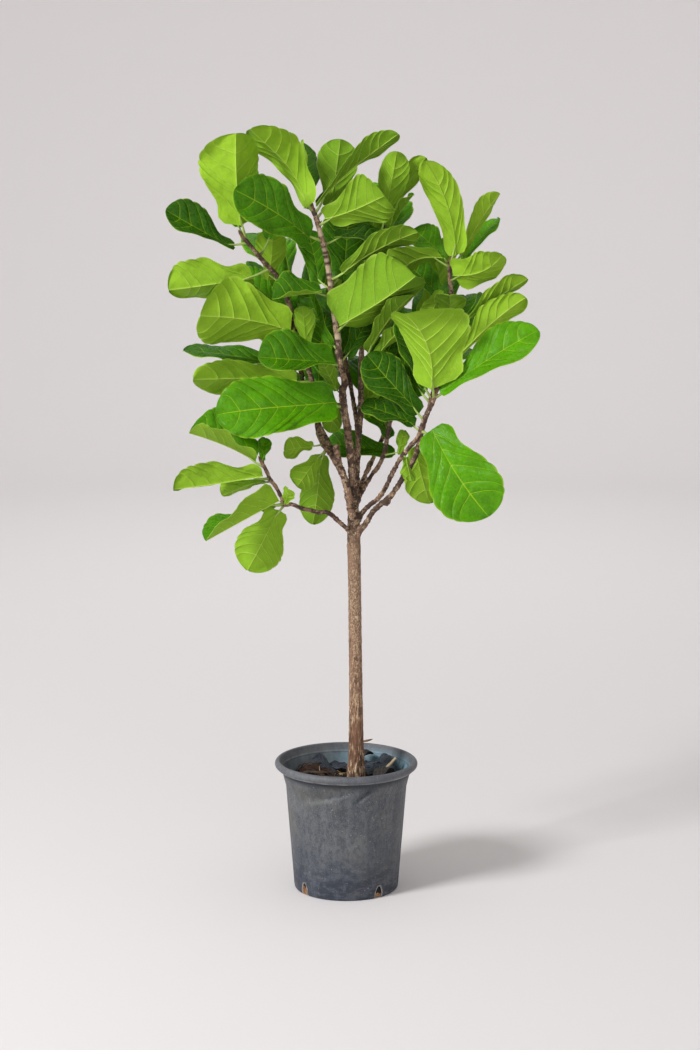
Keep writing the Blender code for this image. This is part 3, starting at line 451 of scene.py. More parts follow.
# %% Stems to the sides
STEMS |= {
    "right": ([(2.0, 78.5, -0.3), (3, 81, -0.8), (4.5, 83, -1.2), (6, 85.5, -1.8), (8, 87.3, -2.2),
               (9.5, 88.5, -2.6), (11, 90.5, -3), (12.5, 93, -3), (14, 95.5, -2.8), (15.3, 98, -2.5),
               (16.2, 101.5, -2), (17, 105, -1.5), (18.2, 108.5, -1), (19, 111.5, -0.8),
               (19.9, 116, -0.5), (20.7, 121, 0), (22, 128, 0), (22.8, 133, 0), (22.4, 137, 0),
               (22.6, 140, 0)],
              0.72, 0.45),
    "front": ([(2.0, 81.5, 0), (3.5, 85, 0), (5, 86.7, 0), (6.8, 88, -0.3), (8, 89.6, -1), (8.8, 91, -2),
               (9.7, 93, -3.5), (10.7, 95, -5), (11.8, 97, -6.5), (14, 99.8, -8.5), (15.8, 102, -10),
               (17, 105.5, -11), (18.7, 109, -12), (19.6, 111.5, -12.5)],
              0.6, 0.45),
    "low": ([(1.5, 79.5, 0), (0.2, 81.5, -1.5), (-1.5, 83, -2.5), (-3, 84.5, -3.5), (-4.5, 85.3, -5),
             (-6, 85.2, -6), (-8, 85.7, -6.5), (-10, 86.2, -7), (-12, 87, -7.2), (-13.5, 87, -7.3),
             (-14.4, 88.8, -7.4), (-15.5, 91, -7.6), (-16.7, 92.5, -7.8), (-17.5, 94.5, -8),
             (-18.4, 96, -8)],
            0.55, 0.38),
}
print("stems so far:", *STEMS)

# %% Stems at the back, and cut stubs
STEMS |= {
    "rear_left": ([(1.4, 88, 0.3), (-0.6, 94, 3.5), (-3, 99, 6.5), (-6, 105, 10), (-9, 113, 13.5),
                   (-11, 121, 16), (-12, 129, 18)],
                  0.65, 0.4),
    "rear_right": ([(1.6, 86.5, 0.4), (4, 93, 6.5), (6.5, 98.5, 10), (9.5, 105, 13), (12.5, 112, 15.5),
                    (14.5, 120, 17.5), (15.5, 129, 18.5)],
                   0.65, 0.4),
    "rear": ([(2.3, 94, 2.7), (2.6, 100, 7), (2.2, 106, 10.5), (1, 113, 13.5), (-0.5, 121, 16),
              (-1.5, 130, 17.5), (-2, 138, 18.5)],
             0.6, 0.4),
}

# Cut stubs and knobs on the old wood: two ends as above, and two radii
STUBS = (
    ((-1.5, 95.2, -1.3), (-2.3, 100.2, -1.6), 0.8, 0.75),
    ((2.35, 96, 3.0), (1.2, 99.4, 2.4), 0.6, 0.55),
    ((8.6, 87.6, -2.3), (9.4, 87.0, -2.5), 0.95, 0.7),
    ((1.6, 77.6, 0), (0.4, 78.2, -0.4), 0.95, 0.75),
)
print(len(STEMS), "stems and", len(STUBS), "stubs")

# %% [markdown]
# A leafy stem's upper part is cut into stretches, and each stretch with its leaves is one piece of
# the model. This keeps every piece small enough to handle, and the cuts don't show.

# %% Leafy stretches
# The points at which each stem is cut into leafy stretches, and what the stretches are called
CUTS = {
    "leader": (4, 9, 13, 16),
    "left": (4, 9, 11, 13),
    "back": (3, 6, 11),
    "inner": (4, 9),
    "right": (8, 13, 16, 19),
    "front": (8, 13),
    "low": (3, 14),
    "rear_left": (2, 6),
    "rear_right": (2, 6),
    "rear": (2, 6),
}
PARTS = {1: ("",), 2: ("_low", "_top"), 3: ("_low", "_middle", "_top")}
# A stretch: its node, the stem, and the two points that it lies between
Stretch = namedtuple("Stretch", "node stem first last")
STRETCHES = [Stretch("leafy_" + stem + part, stem, first, last) for stem, cuts in CUTS.items()
             for part, first, last in zip(PARTS[len(cuts) - 1], cuts, cuts[1:])]
print("stretches:", len(STRETCHES))

# %% [markdown]
# Every leaf has a row of its own, because no rule would put 75 leaves where the picture shows
# them. Most of the row says where the leaf points and how it is turned. The rest is its bearing: how
# it sweeps, twists, folds and cups.

# %% What a leaf's row says
# A leaf: base and tip as seen, width, turn about its length (0 shows the upper side, 180 the
# underside), the tip's depth behind the base, arch towards the upper side as a part of its
# length, and the fold of each half towards the upper side in degrees. A leaf with a bearing of
# its own also has a sweep to one side as a part of its length, a twist in degrees from base to
# tip, a flap (more fold of one half, in degrees), a cup (the lift of its edges as a part of half
# its width) and a neck (how wide it is below its head)
Leaf = namedtuple("Leaf", "x0 z0 x1 z1 width turn reach arch fold sweep twist flap cup neck",
                  defaults=(0, 0, 0, 0, 0.5))
print("a leaf's row:", ", ".join(Leaf._fields))

# %% Leaves of the leader
LEAVES = {}
LEAVES["leafy_leader_low"] = (
    Leaf(-2, 109.6, -28.4, 106.8, 14, 22, -6, 0.06, 6, cup=0.12, neck=0.78),
    Leaf(-2.4, 118.4, -19.2, 119.4, 13, 30, -5, 0.03, 10, twist=-25, flap=-40, neck=0.6),
    Leaf(-2, 112, -5.2, 118.5, 4.5, 150, -4, 0.05, 15),
    Leaf(-1.5, 109.5, -3.5, 102.8, 4.5, 170, -4, 0.1, 10),
    Leaf(0.2, 119.5, 6, 129.5, 6.5, 15, 7, 0.02, 15),
    Leaf(-3, 121.5, -9, 136, 7, -45, 5, 0.02, 18),
)
LEAVES["leafy_leader_middle"] = (
    Leaf(-1.5, 126.2, 15.1, 137, 18, 184, -6, 0.05, 8, flap=-55, neck=0.92),
    Leaf(-5.2, 133.6, -16, 132, 10, 55, -2, 0.03, 46),
    Leaf(-0.6, 136, 0.8, 151.5, 11.5, 5, 7, -0.03, 10),
    Leaf(-6, 135, -8.5, 147, 7.5, 20, 6, 0.02, 12),
    Leaf(-1, 137.5, 15.5, 146.5, 9, -125, -5, 0.04, 16),
    Leaf(-0.5, 131, 7.5, 141, 6.5, 165, 1, 0.05, 12),
)
LEAVES["leafy_leader_top"] = (
    Leaf(-8.4, 151.6, -20.6, 168.4, 13, 148, -5, 0.2, 8, flap=26),
    Leaf(-6.5, 152, 11.2, 167.4, 8.4, -95, -5, 0.05, 20, sweep=-0.1, twist=-75),
    Leaf(-4.6, 149.4, 8.3, 154.2, 12.5, -150, -9, 0.08, 8, sweep=-0.06, cup=0.15),
    Leaf(-9, 151.5, -9.7, 165.8, 9.2, 62, 4, 0.05, 25),
    Leaf(-3.3, 151.6, -1.2, 166.3, 9.2, 174, 2, 0.04, 14),
    Leaf(-7.9, 145, -24.1, 155.5, 12.2, 28, -9, 0.03, 12, cup=0.12, neck=0.62),
    Leaf(-2.5, 145.5, 9.5, 144.5, 8, -70, 4, 0.05, 15),
)
print("leaves:", sum(map(len, LEAVES.values())))

# %% Leaves of the left limb
LEAVES["leafy_left_low"] = (
    Leaf(-5.6, 98.2, -7.4, 82.5, 8.6, 176, 3, 0.04, 16, flap=-20),
    Leaf(-7.1, 99.9, -13.6, 98.8, 6.2, 140, -3, 0.03, 12),
    Leaf(-10.7, 114.4, -33.4, 114.6, 10.4, 130, -5, 0.04, 14, twist=15, neck=0.6),
    Leaf(-6.2, 97.6, -10.8, 90.9, 6.4, 172, 6, 0.03, 12),
    Leaf(-11.3, 117.3, -35.5, 120.8, 10.5, 62, 4, 0.02, 12, twist=8),
    Leaf(-8.4, 120.5, -9.6, 130.5, 5, 168, -4, 0.04, 12),
)
LEAVES["leafy_left_middle"] = (
    Leaf(-12, 125.2, -31.7, 128.4, 17, 156, -8, 0.05, 8, flap=12, cup=0.1, neck=0.6),
    Leaf(-16.9, 136, -16, 147, 7.8, 165, -4, 0.05, 12, flap=-30),
    Leaf(-11, 134, -14, 147.5, 7, -68, 4, 0.03, 20),
    Leaf(-13.5, 130, -24, 138, 8.5, 40, 8, 0.04, 10),
)
LEAVES["leafy_left_top"] = (
    Leaf(-22.7, 147.8, -23.6, 167.5, 16, 182, -1, 0.03, 10, flap=-42, neck=0.6),
    Leaf(-24, 143, -38.9, 151.2, 9.4, 58, -4, 0.0, 20, twist=-28, cup=0.1),
    Leaf(-20.1, 136.6, -38.5, 134, 12.5, 150, 3, 0.03, 14, flap=15, neck=0.6),
    Leaf(-24, 147.5, -21.6, 161.6, 7.5, 20, 10, 0.04, 14),
    Leaf(-15.8, 145, -17, 156.6, 7.6, -20, 10, 0.03, 14),
)
print("leaves:", sum(map(len, LEAVES.values())))

# %% Leaves behind the leader
LEAVES["leafy_back_low"] = (
    Leaf(4.6, 120.5, 14.5, 133, 8, -128, -3, 0.05, 14),
    Leaf(6.4, 119, 13, 126.5, 5, -140, -5, 0.06, 12),
    Leaf(4, 106, 5.5, 119.5, 7, 150, 5, 0.04, 12),
)
LEAVES["leafy_back_top"] = (
    Leaf(8.2, 148, 10.9, 163.7, 7.2, 165, -1, 0.06, 22),
    Leaf(9.9, 151.5, 17.2, 162.4, 5.6, -150, -2, 0.05, 14),
    Leaf(9.1, 146, 14.6, 154.5, 6, -96, -4, 0.04, 18),
    Leaf(6.6, 142.8, 5.4, 156.5, 9.5, 172, -3, 0.05, 10),
    Leaf(7.5, 142, 5.5, 157, 9, 10, 14, 0.04, 10),
)
LEAVES["leafy_inner"] = (
    Leaf(10.8, 98, -4.2, 100.5, 7.8, 66, 5, 0.06, 34),
    Leaf(9.5, 101.5, 4, 110, 8, 34, 4, 0.03, 12),
    Leaf(11.5, 98, 12.6, 103.4, 3.4, 150, -2, 0.05, 12),
)
print("leaves:", sum(map(len, LEAVES.values())))

# %% Leaves of the right limb
LEAVES["leafy_right_low"] = (
    Leaf(16, 107, 4.5, 120, 10, 20, 2, 0.05, 8),
    Leaf(17, 111, 6.5, 123.5, 8.5, 24, 9, 0.03, 10),
    Leaf(15.2, 104.5, 3.5, 109, 9, 52, 3, 0.05, 10),
    Leaf(17.2, 112.8, 11, 127, 7.5, 42, 4, 0.03, 18),
    Leaf(15.2, 100, 18.5, 87.2, 8.5, 178, 4, 0.04, 10),
)
LEAVES["leafy_right_middle"] = (
    Leaf(23.5, 119, 39, 132.4, 8.2, -124, -2, 0.03, 12, twist=-20, flap=32),
    Leaf(23.8, 125.3, 39.3, 136.5, 6.6, -108, -3, 0.04, 20, twist=-25),
    Leaf(22.6, 122, 29.7, 133.2, 6.5, 55, 3, 0.03, 14),
    Leaf(22, 125.5, 22.4, 132.8, 7, 178, -12, 0.1, 12),
    Leaf(21.5, 118, 29, 120, 8, -60, 12, 0.05, 10),
)
LEAVES["leafy_right_top"] = (
    Leaf(23.8, 141.3, 16.9, 161.6, 7.2, 172, -4, 0.04, 12, sweep=-0.05, neck=0.75),
    Leaf(23.1, 137.2, 33.8, 141.6, 8.6, -155, -6, 0.0, 14, sweep=-0.12, twist=60, neck=0.9),
    Leaf(24.9, 141.1, 33.1, 154.8, 6.4, -128, 2, 0.03, 16),
    Leaf(20.8, 141, 9.8, 134.5, 10.5, 128, -5, 0.24, 12, twist=20, cup=0.15),
    Leaf(25.3, 140, 32.6, 149.4, 6.2, -48, 6, 0.03, 14),
    Leaf(21.6, 141, 14.6, 147, 7.5, 22, 7, 0.03, 14),
    Leaf(21, 131.5, 12.8, 139.8, 7.5, 34, 5, 0.03, 16),
    Leaf(21, 133.8, 17.4, 126.8, 5.5, 150, -3, 0.05, 12),
)
print("leaves:", sum(map(len, LEAVES.values())))

# %% Leaves of the front and low limbs
LEAVES["leafy_front"] = (
    Leaf(18.8, 103.7, 31.4, 84.2, 15, 2, -7, 0.06, 6, sweep=0.05, cup=0.08, neck=0.55),
    Leaf(18.5, 112.2, 12.6, 128.8, 20.5, 176, -6, 0.05, 8, sweep=-0.1, flap=50, neck=0.66),
    Leaf(20.5, 111.4, 41.9, 125.3, 11, -30, -3, 0.04, 14, cup=0.1, neck=0.42),
    Leaf(13, 98, 14.4, 92, 3.6, 140, -3, 0.05, 12),
)
LEAVES["leafy_low"] = (
    Leaf(-19.8, 96.6, -34.4, 102.8, 15, 66, -4, 0.03, 44, neck=0.6),
    Leaf(-18.2, 93.3, -38, 90.3, 10, 138, -3, 0.02, 20, flap=30, neck=0.6),
    Leaf(-14.7, 87.9, -31, 78.8, 12, 128, -6, 0.0, 16, twist=-50, flap=40, neck=0.9),
    Leaf(-14.9, 85.8, -21.8, 72.2, 10.8, 178, 4, 0.03, 10, cup=0.1),
    Leaf(-17.9, 92.2, -27.2, 88.9, 6.4, 118, 4, 0.03, 16),
    Leaf(-15.4, 86.7, -19, 85.7, 3, 140, -5, 0.03, 12),
    Leaf(-13.5, 86.8, -12.8, 90.4, 3.4, 150, -3, 0.05, 12),
    Leaf(-18.5, 96.6, -17.7, 101.7, 3.4, 24, 3, 0.03, 16),
)
print("leaves in all:", sum(map(len, LEAVES.values())))

# %% [markdown]
# ## From the eye's view to space
# A place in the tables is where something looks to be. The nearer it is to the eye, the nearer to
# the line of sight's foot it must really stand, so `seen` slides it along the line of sight. The
# cuts between stretches leave a hair's width.

# %% Stems in space
GAP = 0.0003            # between two stretches of one stem
JOINT_STRAIGHT = 0.004


def seen(x, z, depth):
    """The point at a depth behind the trunk's plane that looks to be at x, z on the plane."""
    spread = (depth * CM - EYE.y) / -EYE.y
    on_plane = Vector((x * CM, 0, z * CM))
    return Vector((EYE.x + (on_plane.x - EYE.x) * spread, depth * CM,
                   EYE.z + (on_plane.z - EYE.z) * spread))


def stem_line(name):
    """A stem's points in space and its radius at each."""
    rows, thick, thin = STEMS[name]
    points = [seen(*row) for row in rows]
    last = len(points) - 1
    radii = [(thick + (thin - thick) * (i / last) ** 0.7) * CM for i in range(last + 1)]
    return points, radii


def cut_line(name, first, last):
    """The stretch of a stem between two of its points, with straight ends where it is cut."""
    points, radii = stem_line(name)
    places = points[first:last + 1]
    sizes = radii[first:last + 1]
    if first > 0:
        way = (points[first + 1] - points[first - 1]).normalized()
        places[:1] = [points[first] + way * (GAP / 2), points[first] + way * JOINT_STRAIGHT]
        sizes[:1] = [radii[first]] * 2
    if last < len(points) - 1:
        way = (points[last + 1] - points[last - 1]).normalized()
        places[-1:] = [points[last] - way * JOINT_STRAIGHT, points[last] - way * (GAP / 2)]
        sizes[-1:] = [radii[last]] * 2
    return places, sizes


print("the leader's end:", seen(*STEMS["leader"][0][-1]))

# %% [markdown]
# ## A leaf's form
# The blade is a fiddle: rounded at its foot, a little narrow above it, and broad at its end. A few
# smooth terms give its outline. `Blade` sets the outline in space along the line from base to tip,
# arches it, folds its halves up and waves its edge. This is the same form as in the plain model, and
# the fine leaf adds to it later.

# %% The blade's outline and surface
WAVES = 2.3
WAVE_HEIGHT = 0.042
TWIST_START = 0.25      # part of the blade's length where it isn't twisted


def outline(u, neck):
    """Half the blade's width at a part of its length: a fiddle with a neck and a broad round end."""
    swell = min(1.0, max(0.0, (u - 0.16) / 0.52))
    body = neck + (1 - neck) * swell * swell * (3 - 2 * swell) - 0.05 * math.exp(-((u - 0.27) / 0.09) ** 2)
    base = max(0.0, 1 - u / 0.12)
    tip = max(0.0, (u - 0.68) / 0.32)
    return body * (1 - base * base) ** 0.6 * (1 - tip ** 2.2) ** 0.5


class Blade:
    """A leaf's shape in space."""

    def __init__(self, base, tip, width, turn, arch, fold, phase, gesture=(0, 0, 0, 0, 0.5)):
        self.base = base
        self.length = (tip - base).length
        self.along = (tip - base).normalized()
        to_eye = (EYE - base).normalized()
        face = (to_eye - self.along * to_eye.dot(self.along)).normalized()
        self.up = Quaternion(self.along, math.radians(turn)) @ face
        self.side = self.along.cross(self.up)
        self.width = width
        self.arch = arch
        self.fold = math.radians(fold)
        self.phase = phase
        sweep, twist, flap, cup, neck = gesture
        self.sweep = sweep + 0.025 * math.sin(3.1 * phase)
        self.twist = math.radians(twist + 10 * math.sin(5.3 * phase))
        self.flap = math.radians(flap)
        self.cup = cup + 0.05 * math.sin(2.3 * phase)
        self.skew = 0.5 * math.sin(7.7 * phase)
        self.neck = neck + 0.05 * math.sin(4.1 * phase)

    def set_up(self, up):
        """Turn the upper side as near as it goes to a direction."""
        self.up = (up - self.along * self.along.dot(up)).normalized()
        self.side = self.along.cross(self.up)

    def point(self, u, v):
        """A place on the middle surface: u from base to tip, v from edge (-1) to edge (1)."""
        wide = outline(u, self.neck)
        reach = abs(v) * self.width / 2 * wide
        fold = self.fold + (max(0.0, self.flap) if v > 0 else max(0.0, -self.flap))
        wave = 2 * math.pi * WAVES * u + self.phase + (1.9 if v > 0 else 0)
        rise = reach * math.sin(fold) + self.cup * 2 * reach * reach / self.width
        rise += WAVE_HEIGHT * self.width * v * v * wide * math.sin(wave)
        across = math.copysign(reach * math.cos(fold), v)
        turn = self.twist * (u - TWIST_START)
        bow = self.length * 4 * u * (1 - u)
        arch = bow * self.arch * (1 + self.skew * (2 * u - 1))
        lift = arch + rise * math.cos(turn) - across * math.sin(turn)
        aside = bow * self.sweep + across * math.cos(turn) + rise * math.sin(turn)
        return self.base + self.along * (self.length * u) + self.up * lift + self.side * aside


print("half a blade's width along it:", [round(outline(u, 0.5), 2) for u in (0.1, 0.3, 0.5, 0.7, 0.9)])

# %% [markdown]
# ## Keeping the leaves apart
# A hundred leaves in one crown would cut through each other. Each leaf is tried as listed, and
# then turned or moved a little until it is clear of all that stands already. Blender's search trees
# (`BVHTree`) say quickly whether two surfaces cross.

# %% Where a leaf grows from its stem
STALK_MARGIN = 1.2      # least distance of a stalk from a stretch's end, in centimetres
STALK_RISE = 1.2        # how far below the blade's base its stalk leaves the stem, in centimetres


def stalk_spot(stretch, leaf):
    """The place on a stretch of stem, as seen, that a leaf's stalk leaves from."""
    rows = STEMS[stretch.stem][0][stretch.first:stretch.last + 1]
    goal = (leaf.x0, leaf.z0 - STALK_RISE)
    best = None
    for number, (one, other) in enumerate(zip(rows, rows[1:])):
        run = (other[0] - one[0], other[1] - one[1])
        square = run[0] ** 2 + run[1] ** 2
        part = ((goal[0] - one[0]) * run[0] + (goal[1] - one[1]) * run[1]) / square
        margin = min(0.45, STALK_MARGIN / math.sqrt(square))
        lowest = margin if number == 0 else 0
        highest = 1 - margin if number == len(rows) - 2 else 1
        part = min(highest, max(lowest, part))
        spot = [one[i] + (other[i] - one[i]) * part for i in range(3)]
        far = math.hypot(spot[0] - goal[0], spot[1] - goal[1])
        if best is None or far < best[0]:
            best = (far, spot)
    return best[1]


print("first leaf's stalk leaves at", np.round(stalk_spot(STRETCHES[0], LEAVES["leafy_leader_low"][0]), 1))

# %% A leaf in space
PETIOLE_RADIUS = 0.0026
PETIOLE_LEAST = 0.018   # the shortest stalk
STALK_END = 0.07        # part of the blade's length where the stalk's line ends
STALK_SINK = 0.0009
GESTURE = 9             # place of a bearing's first value in a leaf's row


def leaf_blade(stretch, leaf, turn_more, reach_more):
    """The blade of a leaf in the table, and where its stalk leaves the stem."""
    spot = stalk_spot(stretch, leaf)
    reach = leaf.reach + reach_more
    start_depth = spot[2] + math.copysign(1.0, reach) + 0.1 * reach
    root = seen(*spot)
    base = seen(leaf.x0, leaf.z0, start_depth)
    tip = seen(leaf.x1, leaf.z1, start_depth + reach)
    way = (tip - base).normalized()
    short = PETIOLE_LEAST - (base - root).length
    if short > 0:
        base = base + way * short
    phase = (leaf.x1 * 0.7 + leaf.z1 * 0.3) % (2 * math.pi)
    blade = Blade(base, tip, leaf.width * CM, leaf.turn + turn_more, leaf.arch, leaf.fold, phase,
                  leaf[GESTURE:])
    return blade, root


def rear_blade(root, heading, rise, length, width, phase):
    """A blade that grows out from a point of a stem, upper side up."""
    heading, rise = math.radians(heading), math.radians(rise)
    way = Vector((math.cos(heading) * math.cos(rise), math.sin(heading) * math.cos(rise), math.sin(rise)))
    base = root + way * 0.03
    tip = base + way * length
    blade = Blade(base, tip, width, 0, 0.06, 12, phase)
    blade.set_up(Vector((0, 0, 1)))
    return blade


def petiole(blade, root):
    """The stalk's line: from inside the stem to just past the foot of the blade."""
    scale = min(1.0, 0.55 + blade.length / 0.4)
    end = blade.point(STALK_END, 0) - blade.up * STALK_SINK
    return [root, end], [PETIOLE_RADIUS * scale * 1.15, PETIOLE_RADIUS * scale * 0.7]


first_leaf = leaf_blade(STRETCHES[0], LEAVES["leafy_leader_low"][0], 0, 0)[0]
print("first leaf's length:", round(first_leaf.length, 3))

# %% [markdown]
# The test needs no fine shapes. A blade is tried as two coarse sheets, one a little above it and one
# a little below, and a stem or stalk as a four-sided rope. A sheet that cuts another then shows that
# the real leaves come too near.

# %% Coarse shapes for the test


def sheet(blade, offset, rows=12, columns=6):
    """Points and quads of the blade's surface, moved out along its upper side."""
    points = []
    for i in range(rows + 1):
        u = 0.01 + 0.98 * i / rows
        for j in range(columns + 1):
            points.append(blade.point(u, 2 * j / columns - 1) + blade.up * offset)
    return points, grid_quads(rows + 1, columns + 1).tolist()


def rope(places, sizes, more):
    """Points and quads of a four-sided tube for the test of what crosses."""
    points = []
    for i, (place, size) in enumerate(zip(places, sizes)):
        ahead = places[min(i + 1, len(places) - 1)] - places[max(i - 1, 0)]
        ahead.normalize()
        side = ahead.orthogonal().normalized()
        other = ahead.cross(side)
        for turn in range(4):
            angle = turn * math.pi / 2
            points.append(place + (side * math.cos(angle) + other * math.sin(angle)) * (size + more))
    return points, grid_quads(len(places), 4, True).tolist()


def search_tree(*parts):
    """One search tree of several lots of points and quads."""
    points, quads = [], []
    for some_points, some_quads in parts:
        first = len(points)
        points += some_points
        quads += [tuple(first + i for i in quad) for quad in some_quads]
    return BVHTree.FromPolygons(points, quads)


def leaf_tree(blade, root, start, spread):
    """A search tree of a blade and its stalk from a part of its length on, spread to both sides."""
    places, sizes = petiole(blade, root)
    stalk = rope([places[0].lerp(places[1], start), places[1]], sizes, spread / 2)
    return search_tree(sheet(blade, spread), sheet(blade, -spread), stalk)


print("a sheet has", len(sheet(Blade(Vector(), Vector((0, 0, 0.2)), 0.1, 0, 0, 0, 0), 0)[1]), "quads")

# %% What a leaf may not cross
CLEARANCE = 0.003
STALK_FREE = 0.35       # part of a stalk that may touch its neighbours' stalks


class Crown:
    """The stems and leaves that stand already."""

    def __init__(self):
        self.stems = {}
        self.placed = []
        self.chosen = {stretch.node: [] for stretch in STRETCHES}
        for stretch in STRETCHES:
            line = cut_line(stretch.stem, stretch.first, stretch.last)
            self.stems[stretch.node] = search_tree(rope(*line, 0))
        for name, cuts in CUTS.items():
            self.stems[name] = search_tree(rope(*cut_line(name, 0, cuts[0]), 0))

    def crossings(self, own, blade, root):
        """How many faces of what stands already come too near to a leaf of a node."""
        whole = leaf_tree(blade, root, 0, CLEARANCE)
        upper = leaf_tree(blade, root, STALK_FREE, CLEARANCE)
        bare = search_tree(sheet(blade, CLEARANCE), sheet(blade, -CLEARANCE))
        count = 0
        for node, whole_other, upper_other in self.placed:
            count += len(upper.overlap(upper_other) if node == own else whole.overlap(whole_other))
        for name, other in self.stems.items():
            count += len((bare if name == own else whole).overlap(other))
        return count

    def keep(self, node, blade, root):
        """Let a leaf stand."""
        whole, upper = leaf_tree(blade, root, 0, 0), leaf_tree(blade, root, STALK_FREE, 0)
        self.placed.append((node, whole, upper))
        self.chosen[node].append((blade, root))


crown = Crown()
print("stems that stand:", len(crown.stems))

# %% Leaves of the table


def place_listed(crown):
    """Give each listed leaf its blade: as listed, or turned and moved a little to be clear."""
    tries = [(turn, reach) for turn in (0, -8, 8, -16, 16, -24, 24, -36, 36, -48, 48)
             for reach in (0, -2, 2, -4, 4, -6, 6, -9, 9)]
    tries.sort(key=lambda step: abs(step[0]) / 10 + abs(step[1]) / 2)
    for stretch in STRETCHES:
        for number, leaf in enumerate(LEAVES.get(stretch.node, ())):
            best = None
            for turn, reach in tries:
                blade, root = leaf_blade(stretch, leaf, turn, reach)
                count = crown.crossings(stretch.node, blade, root)
                if best is None or count < best[0]:
                    best = (count, blade, root)
                if count == 0:
                    break
            if best[0]:
                print("crosses", stretch.node, number, best[0])
            crown.keep(stretch.node, best[1], best[2])


place_listed(crown)
print("listed leaves:", len(crown.placed))

# %% [markdown]
# No picture shows the leaves at the back, so they follow the way the plant grows: each stands 137.5
# degrees round the stem from the one before, with its upper side to the sky. Where that drives it
# into another leaf, it is turned, raised or made smaller, and if nothing helps it is left out.

# %% Leaves round the rear stems
# How many leaves grow by the rule, and where the first one points
REAR_LEAVES = {
    "leafy_rear_left": (8, 150),
    "leafy_rear_right": (8, 30),
    "leafy_rear": (7, 95),
    "leafy_back_top": (1, 80),
    "leafy_left_middle": (1, 110),
    "leafy_left_low": (1, 130),
    "leafy_right_middle": (1, 70),
    "leafy_inner": (1, 60),
}
GOLDEN_ANGLE = 137.5
REAR_REACH = 0.36
REAR_NEAREST = 0.04
REAR_SIDE = 0.36
REAR_TOP = 1.66
REAR_SEED = 5


def in_bounds(tip):
    """Whether a rear leaf's tip stays behind the trunk and inside the crown."""
    return REAR_NEAREST <= tip.y <= REAR_REACH and abs(tip.x) <= REAR_SIDE and tip.z <= REAR_TOP


def place_rear(crown):
    """Grow the leaves that no picture shows."""
    options = [(turn, more, scale) for scale in (1, 0.88, 0.76, 0.66)
               for more in (0, 14, -14, 28, -28)
               for turn in (0, 15, -15, 30, -30, 50, -50, 75, -75, 100, -100, 130, -130)]
    rng = random.Random(REAR_SEED)
    for stretch in STRETCHES:
        amount, first = REAR_LEAVES.get(stretch.node, (0, 0))
        points = stem_line(stretch.stem)[0][stretch.first:stretch.last + 1]
        for i in range(amount):
            along = 0.25 + 0.72 * (i + 0.5) / amount
            spot = along * (len(points) - 1)
            step = min(int(spot), len(points) - 2)
            root = points[step].lerp(points[step + 1], min(0.9, max(0.1, spot - step)))
            heading = first + i * GOLDEN_ANGLE
            rise = rng.uniform(18, 38) + 24 * along
            length = rng.uniform(0.17, 0.23)
            width = length * rng.uniform(0.56, 0.66)
            phase = rng.uniform(0, 2 * math.pi)
            for turn, more, scale in options:
                blade = rear_blade(root, heading + turn, rise + more, length * scale, width * scale, phase)
                if in_bounds(blade.point(1, 0)) and crown.crossings(stretch.node, blade, root) == 0:
                    crown.keep(stretch.node, blade, root)
                    break
            else:
                print("left out", stretch.node, i)


place_rear(crown)
print("leaves in all:", len(crown.placed))

# %% [markdown]
# ## Leaf colours
# The upper side of a fiddle leaf is deep green and leathery, with a soft gloss and pale veins. The
# underside is dull and much lighter, a yellow green. Light also passes through the thin blade, so a
# Translucent shader is mixed in. One mesh carries both sides, each with its own material. Veins
# follow a number kept at the mesh's points, so that colour and shape agree. Between them a fine net
# comes from a Voronoi pattern's edges.

# %% The net between the veins


def vein_net(tree):
    """The fine net between the veins, from 0 to 1 on its threads."""
    place = put(tree, "UVMap", uv_map="UVMap").outputs["UV"]
    stretched = put(tree, "Mapping", {"Vector": place, "Scale": (46, 30, 1)}).outputs["Vector"]
    cells = put(tree, "TexVoronoi", {"Vector": stretched, "Scale": 1.0, "Randomness": 0.9},
                feature="DISTANCE_TO_EDGE").outputs["Distance"]
    return spread(tree, cells, 0.0, 0.09, 1.0, 0.0)


print("the net is read from each mesh's UV map")

# %% Leaf materials


def leaf_material(name, young, old, vein_color, vein_share, rough, gloss, glow, net_share):
    """One side of the leaves."""
    mat, tree, shader = make_material(name, young, rough)
    place = object_place(tree)
    net = vein_net(tree)
    patches = speckle(tree, place, 14, 3)
    # The shade mark holds a leaf's age, and painted shade for the leaves inside the crown
    age = math_node(tree, "ADD", mark(tree, "shade"), times(tree, patches, 0.7))
    age = spread(tree, age, 0.25, 1.35)
    color = mix(tree, age, young, old)
    blotches = speckle(tree, place, 42, 4)
    color = stain(tree, color, old, blotches, 0.4, 0.66, 0.32)
    fine = speckle(tree, place, 160, 5, 0.6)
    color = stain(tree, color, vein_color, fine, 0.35, 0.75, 0.1)
    color = mix(tree, times(tree, net, net_share), color, vein_color)
    vein = spread(tree, mark(tree, "vein"), 0.05, 0.8)
    color = mix(tree, times(tree, vein, vein_share), color, vein_color)
    color = mix(tree, times(tree, mark(tree, "edge"), 0.5), color, vein_color)
    tree.links.new(color, shader.inputs["Base Color"])
    tree.links.new(spread(tree, fine, 0.3, 0.7, rough - 0.05, rough + 0.1), shader.inputs["Roughness"])
    ripples = times(tree, speckle(tree, place, 62, 3), 4.5)
    height = math_node(tree, "ADD", math_node(tree, "MULTIPLY_ADD", net, 0.5, fine), ripples)
    shader.inputs["Specular IOR Level"].default_value = gloss
    relief(tree, shader, height, 0.0007)
    through = put(tree, "BsdfTranslucent", {"Color": color})
    blend = put(tree, "MixShader", {0: glow, 1: shader.outputs[0], 2: through.outputs[0]})
    tree.links.new(blend.outputs[0], tree.nodes["Material Output"].inputs["Surface"])
    return mat


